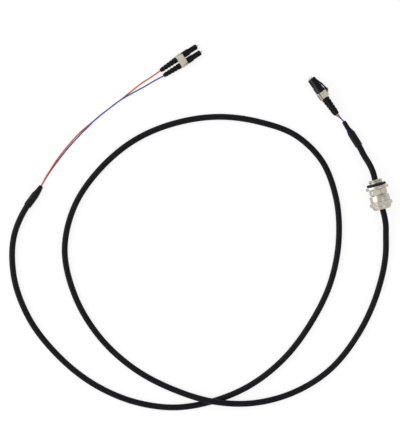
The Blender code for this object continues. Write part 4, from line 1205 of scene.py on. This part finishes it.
def gland_body_mesh():
    """Threaded stub, collar, hexagon and the nut's thread, bored for the cable."""
    root = BODY_THREAD_RADIUS - BODY_THREAD_DEPTH
    rings = [
        (BODY_LENGTH, CLAW_SEAT_RADIUS, False),
        (BODY_LENGTH, root, True),
        (BODY_LENGTH - 0.0001, root + 0.0001, True),
    ]
    rings += thread_rings(
        BODY_LENGTH - 0.0004, 0.0082, BODY_THREAD_RADIUS, BODY_THREAD_DEPTH, 0.12, 0.1
    )
    rings += [(0.0079, BODY_NECK_RADIUS, False), (0.0077, BODY_NECK_RADIUS, False)]
    rings += hexagon_rings(
        COLLAR_THICKNESS, BODY_HEX_END, BODY_HEX_FLATS, BODY_HEX_CORNER_AT, BODY_NECK_RADIUS
    )
    rings += open_profile([
        (COLLAR_THICKNESS, 0.0068),
        (COLLAR_THICKNESS, COLLAR_RADIUS, COLLAR_EDGE),
        (0.0, COLLAR_RADIUS, COLLAR_EDGE),
        (0.0, STUB_ROOT_RADIUS, 0.00015),
        (-0.0022, STUB_ROOT_RADIUS),
    ])
    rings += thread_rings(
        -0.0026, -STUB_LENGTH + 0.0003, STUB_RADIUS, STUB_THREAD_DEPTH, 0.08, 0.16
    )
    rings += open_profile([
        (-STUB_LENGTH, 0.0056),
        (-STUB_LENGTH, BODY_BORE_RADIUS + 0.0004, 0.0001),
        (-STUB_LENGTH + 0.0004, BODY_BORE_RADIUS, 0.0001),
        (CLAW_SEAT, BODY_BORE_RADIUS),
        (CLAW_SEAT, CLAW_SEAT_RADIUS),
    ])
    return ring_mesh("gland_body_shell", rings, 144, BODY_HEX_CORNER_AT, sharp_from=24.0)


def dome_nut_mesh():
    """Round skirt with a rolled grip line, hexagon and dome, threaded inside."""
    rings = [(NUT_BACK, radius, False) for radius in (0.0040, 0.0047, 0.0060)]
    for k in range(15):
        angle = math.pi / 2 * k / 14
        x = NUT_HEX_END + (NUT_BACK - NUT_HEX_END) * math.cos(angle)
        bulge = (NUT_DOME_RADIUS - NUT_FACE_RADIUS) * math.sin(angle)
        rings.append((x, NUT_FACE_RADIUS + bulge, False))
    rings += hexagon_rings(
        NUT_SKIRT_END, NUT_HEX_END, NUT_HEX_FLATS, NUT_HEX_CORNER_AT, NUT_DOME_RADIUS
    )
    rings += open_profile([
        (NUT_SKIRT_END, NUT_GRIP_RADIUS),
        (NUT_SKIRT_END - 0.0002, NUT_GRIP_RADIUS, NUT_EDGE),
        (NUT_SKIRT_END - 0.0004, NUT_SKIRT_RADIUS, NUT_EDGE),
        (NUT_START, NUT_SKIRT_RADIUS, 0.0004),
        (NUT_START, NUT_THREAD_RADIUS + 0.0002, NUT_EDGE),
        (NUT_START + 0.0002, NUT_THREAD_RADIUS),
    ])
    rings += thread_rings(
        NUT_START + 0.0004, NUT_THREAD_END, NUT_THREAD_RADIUS, -NUT_THREAD_DEPTH, 0.1, 0.1
    )
    rings += open_profile([
        (NUT_THREAD_END + 0.0002, NUT_THREAD_RADIUS),
        (0.0162, NUT_CHAMBER_RADIUS, NUT_EDGE),
        (NUT_CHAMBER_END, NUT_CHAMBER_RADIUS, NUT_EDGE),
        (NUT_CHAMBER_END, NUT_HOLE_RADIUS, NUT_EDGE),
        (0.0197, NUT_HOLE_RADIUS),
    ])
    return ring_mesh("dome_nut_shell", rings, 144, NUT_HEX_CORNER_AT, sharp_from=24.0)


def o_ring_mesh():
    """The sealing ring, just clear of the collar in front and the stub within."""
    section = O_RING_SECTION / 2
    hoop = []
    for k in range(24):
        angle = math.tau * k / 24
        x = -O_RING_GAP - section + section * math.cos(angle)
        radius = STUB_RADIUS + O_RING_GAP + section + section * math.sin(angle)
        hoop.append((x, radius, False))
    return ring_mesh("gland_o_ring_hoop", hoop, 120)


def seal_mesh():
    corners = [
        (SEAL_END, 0.0039), (SEAL_END - 0.0004, 0.0043), (CLAW_FRONT, 0.0043),
        (CLAW_FRONT, SEAL_BORE_RADIUS), (SEAL_END, SEAL_BORE_RADIUS),
    ]
    return turned_mesh("gland_seal_bush", corners, 0.00015)


def washer_mesh():
    corners = [
        (WASHER_BACK, 0.0057), (WASHER_FRONT, 0.0057),
        (WASHER_FRONT, 0.00305), (WASHER_BACK, 0.00305),
    ]
    return turned_mesh("gland_washer_ring", corners, 0.0001)


def show_gland():
    """The gland's pieces; the nut turns, and the washer only travels with it."""
    brass = "nickelled_brass"
    rows = [
        ("gland_body_shell", gland_body_mesh(), brass, "cable", "gland_body"),
        ("gland_dome_nut_shell", dome_nut_mesh(), brass, "dome_nut", "gland_dome_nut"),
        ("gland_o_ring_hoop", o_ring_mesh(), "black_rubber", "cable", "gland_o_ring"),
        ("gland_seal_bush", seal_mesh(), "black_rubber", "cable", "gland_seal"),
        ("gland_washer_ring", washer_mesh(), "white_nylon", "nut_carriage", "gland_slip_washer"),
    ]
    return [
        show(name, mesh, slot, body, node, GLAND_FRAME)
        for name, mesh, slot, body, node in rows
    ]


# The whole object, the surface and the light


def show_object():
    cable, cable_path = show_cable()
    for end, parts in ENDS.items():
        show_sleeve(end, parts)
    meshes = {
        "housing_shell": housing_mesh(),
        "boot_shell": boot_mesh(),
        "ferrule_shell": ferrule_mesh(),
        "flange_shell": flange_mesh(),
        "spring_coil": spring_mesh(),
    }
    clip = clip_mesh()
    for end, parts in ENDS.items():
        place = pair_frame(parts["plugs"])
        show(f"{end}_clip", clip, "beige_moulding", "cable", f"{end}_duplex_clip", place)
    for end, parts in ENDS.items():
        for side, colour in zip((1, -1), parts["fibres"]):
            plug = show_plug(f"{end}_{colour}", parts["plugs"], side, meshes)
            leg, path = show_fibre(end, parts, side, colour)
    gland = show_gland()


def dress_solids():
    """Finishes for the solids that show as they are."""
    slots = {part["node"]: part["material_slot"] for part in frame["record"]["subparts"]}
    for name, node in frame["nodes"].items():
        node.data.materials.clear()
        node.data.materials.append(FINISHES[slots[name]])


def add_floor():
    """A white surface that looks white to the camera and still holds shadows."""
    bm = bmesh.new()
    bmesh.ops.create_grid(bm, x_segments=1, y_segments=1, size=3.0)
    floor = place_in_scene("floor", solid_mesh("floor", bm))
    floor.location = (0.0, 0.0, -0.00002)
    material, w, shader = finish("white_surface", 0.9, specular=0.0)
    shader.inputs["Base Color"].default_value = (0.32, 0.32, 0.32, 1.0)
    shader.inputs["Emission Color"].default_value = (1.0, 1.0, 1.0, 1.0)
    straight, glossy = w.ray_masks()
    seen = w.times(straight, FLOOR_GLOW)
    mirrored = w.times(glossy, FLOOR_GLOW_MIRRORED)
    w.feed(shader.inputs["Emission Strength"], w.maths("MAXIMUM", seen, mirrored))
    floor.data.materials.append(material)


def add_lamps():
    for name, (location, width, watts) in LAMPS.items():
        lamp = place_in_scene(name, bpy.data.lights.new(name, "AREA"))
        lamp.data.shape = "SQUARE"
        lamp.data.size = width
        lamp.data.energy = watts
        lamp.location = location
        aim = LIT_MIDDLE - location
        lamp.rotation_euler = aim.to_track_quat("-Z", "Y").to_euler()


def add_studio():
    """A white room. Mirrored rays see its walls brighter low down and to the left."""
    world = bpy.data.worlds.new("studio")
    world.use_nodes = True
    bpy.context.scene.world = world
    w = Wiring(world.node_tree)
    background = world.node_tree.nodes["Background"]
    straight, glossy = w.ray_masks()
    place = w.split(w.add("ShaderNodeTexCoord").outputs["Generated"])
    height = w.fade(place["Z"], 0.85, 0.2, 0.4, 0.8)
    wall = w.times(height, w.fade(place["X"], -0.9, 0.9, 1.25, 0.7))
    seen = w.maths("MAXIMUM", straight, w.times(glossy, wall))
    plain = w.maths("SUBTRACT", 1.0, w.maths("MAXIMUM", straight, glossy))
    strength = w.maths("ADD", seen, w.times(plain, ROOM_LIGHT))
    background.inputs["Color"].default_value = (1.0, 1.0, 1.0, 1.0)
    w.feed(background.inputs["Strength"], strength)


show_object()
dress_solids()
add_floor()
add_lamps()
add_studio()
bpy.context.scene.view_settings.view_transform = "Standard"
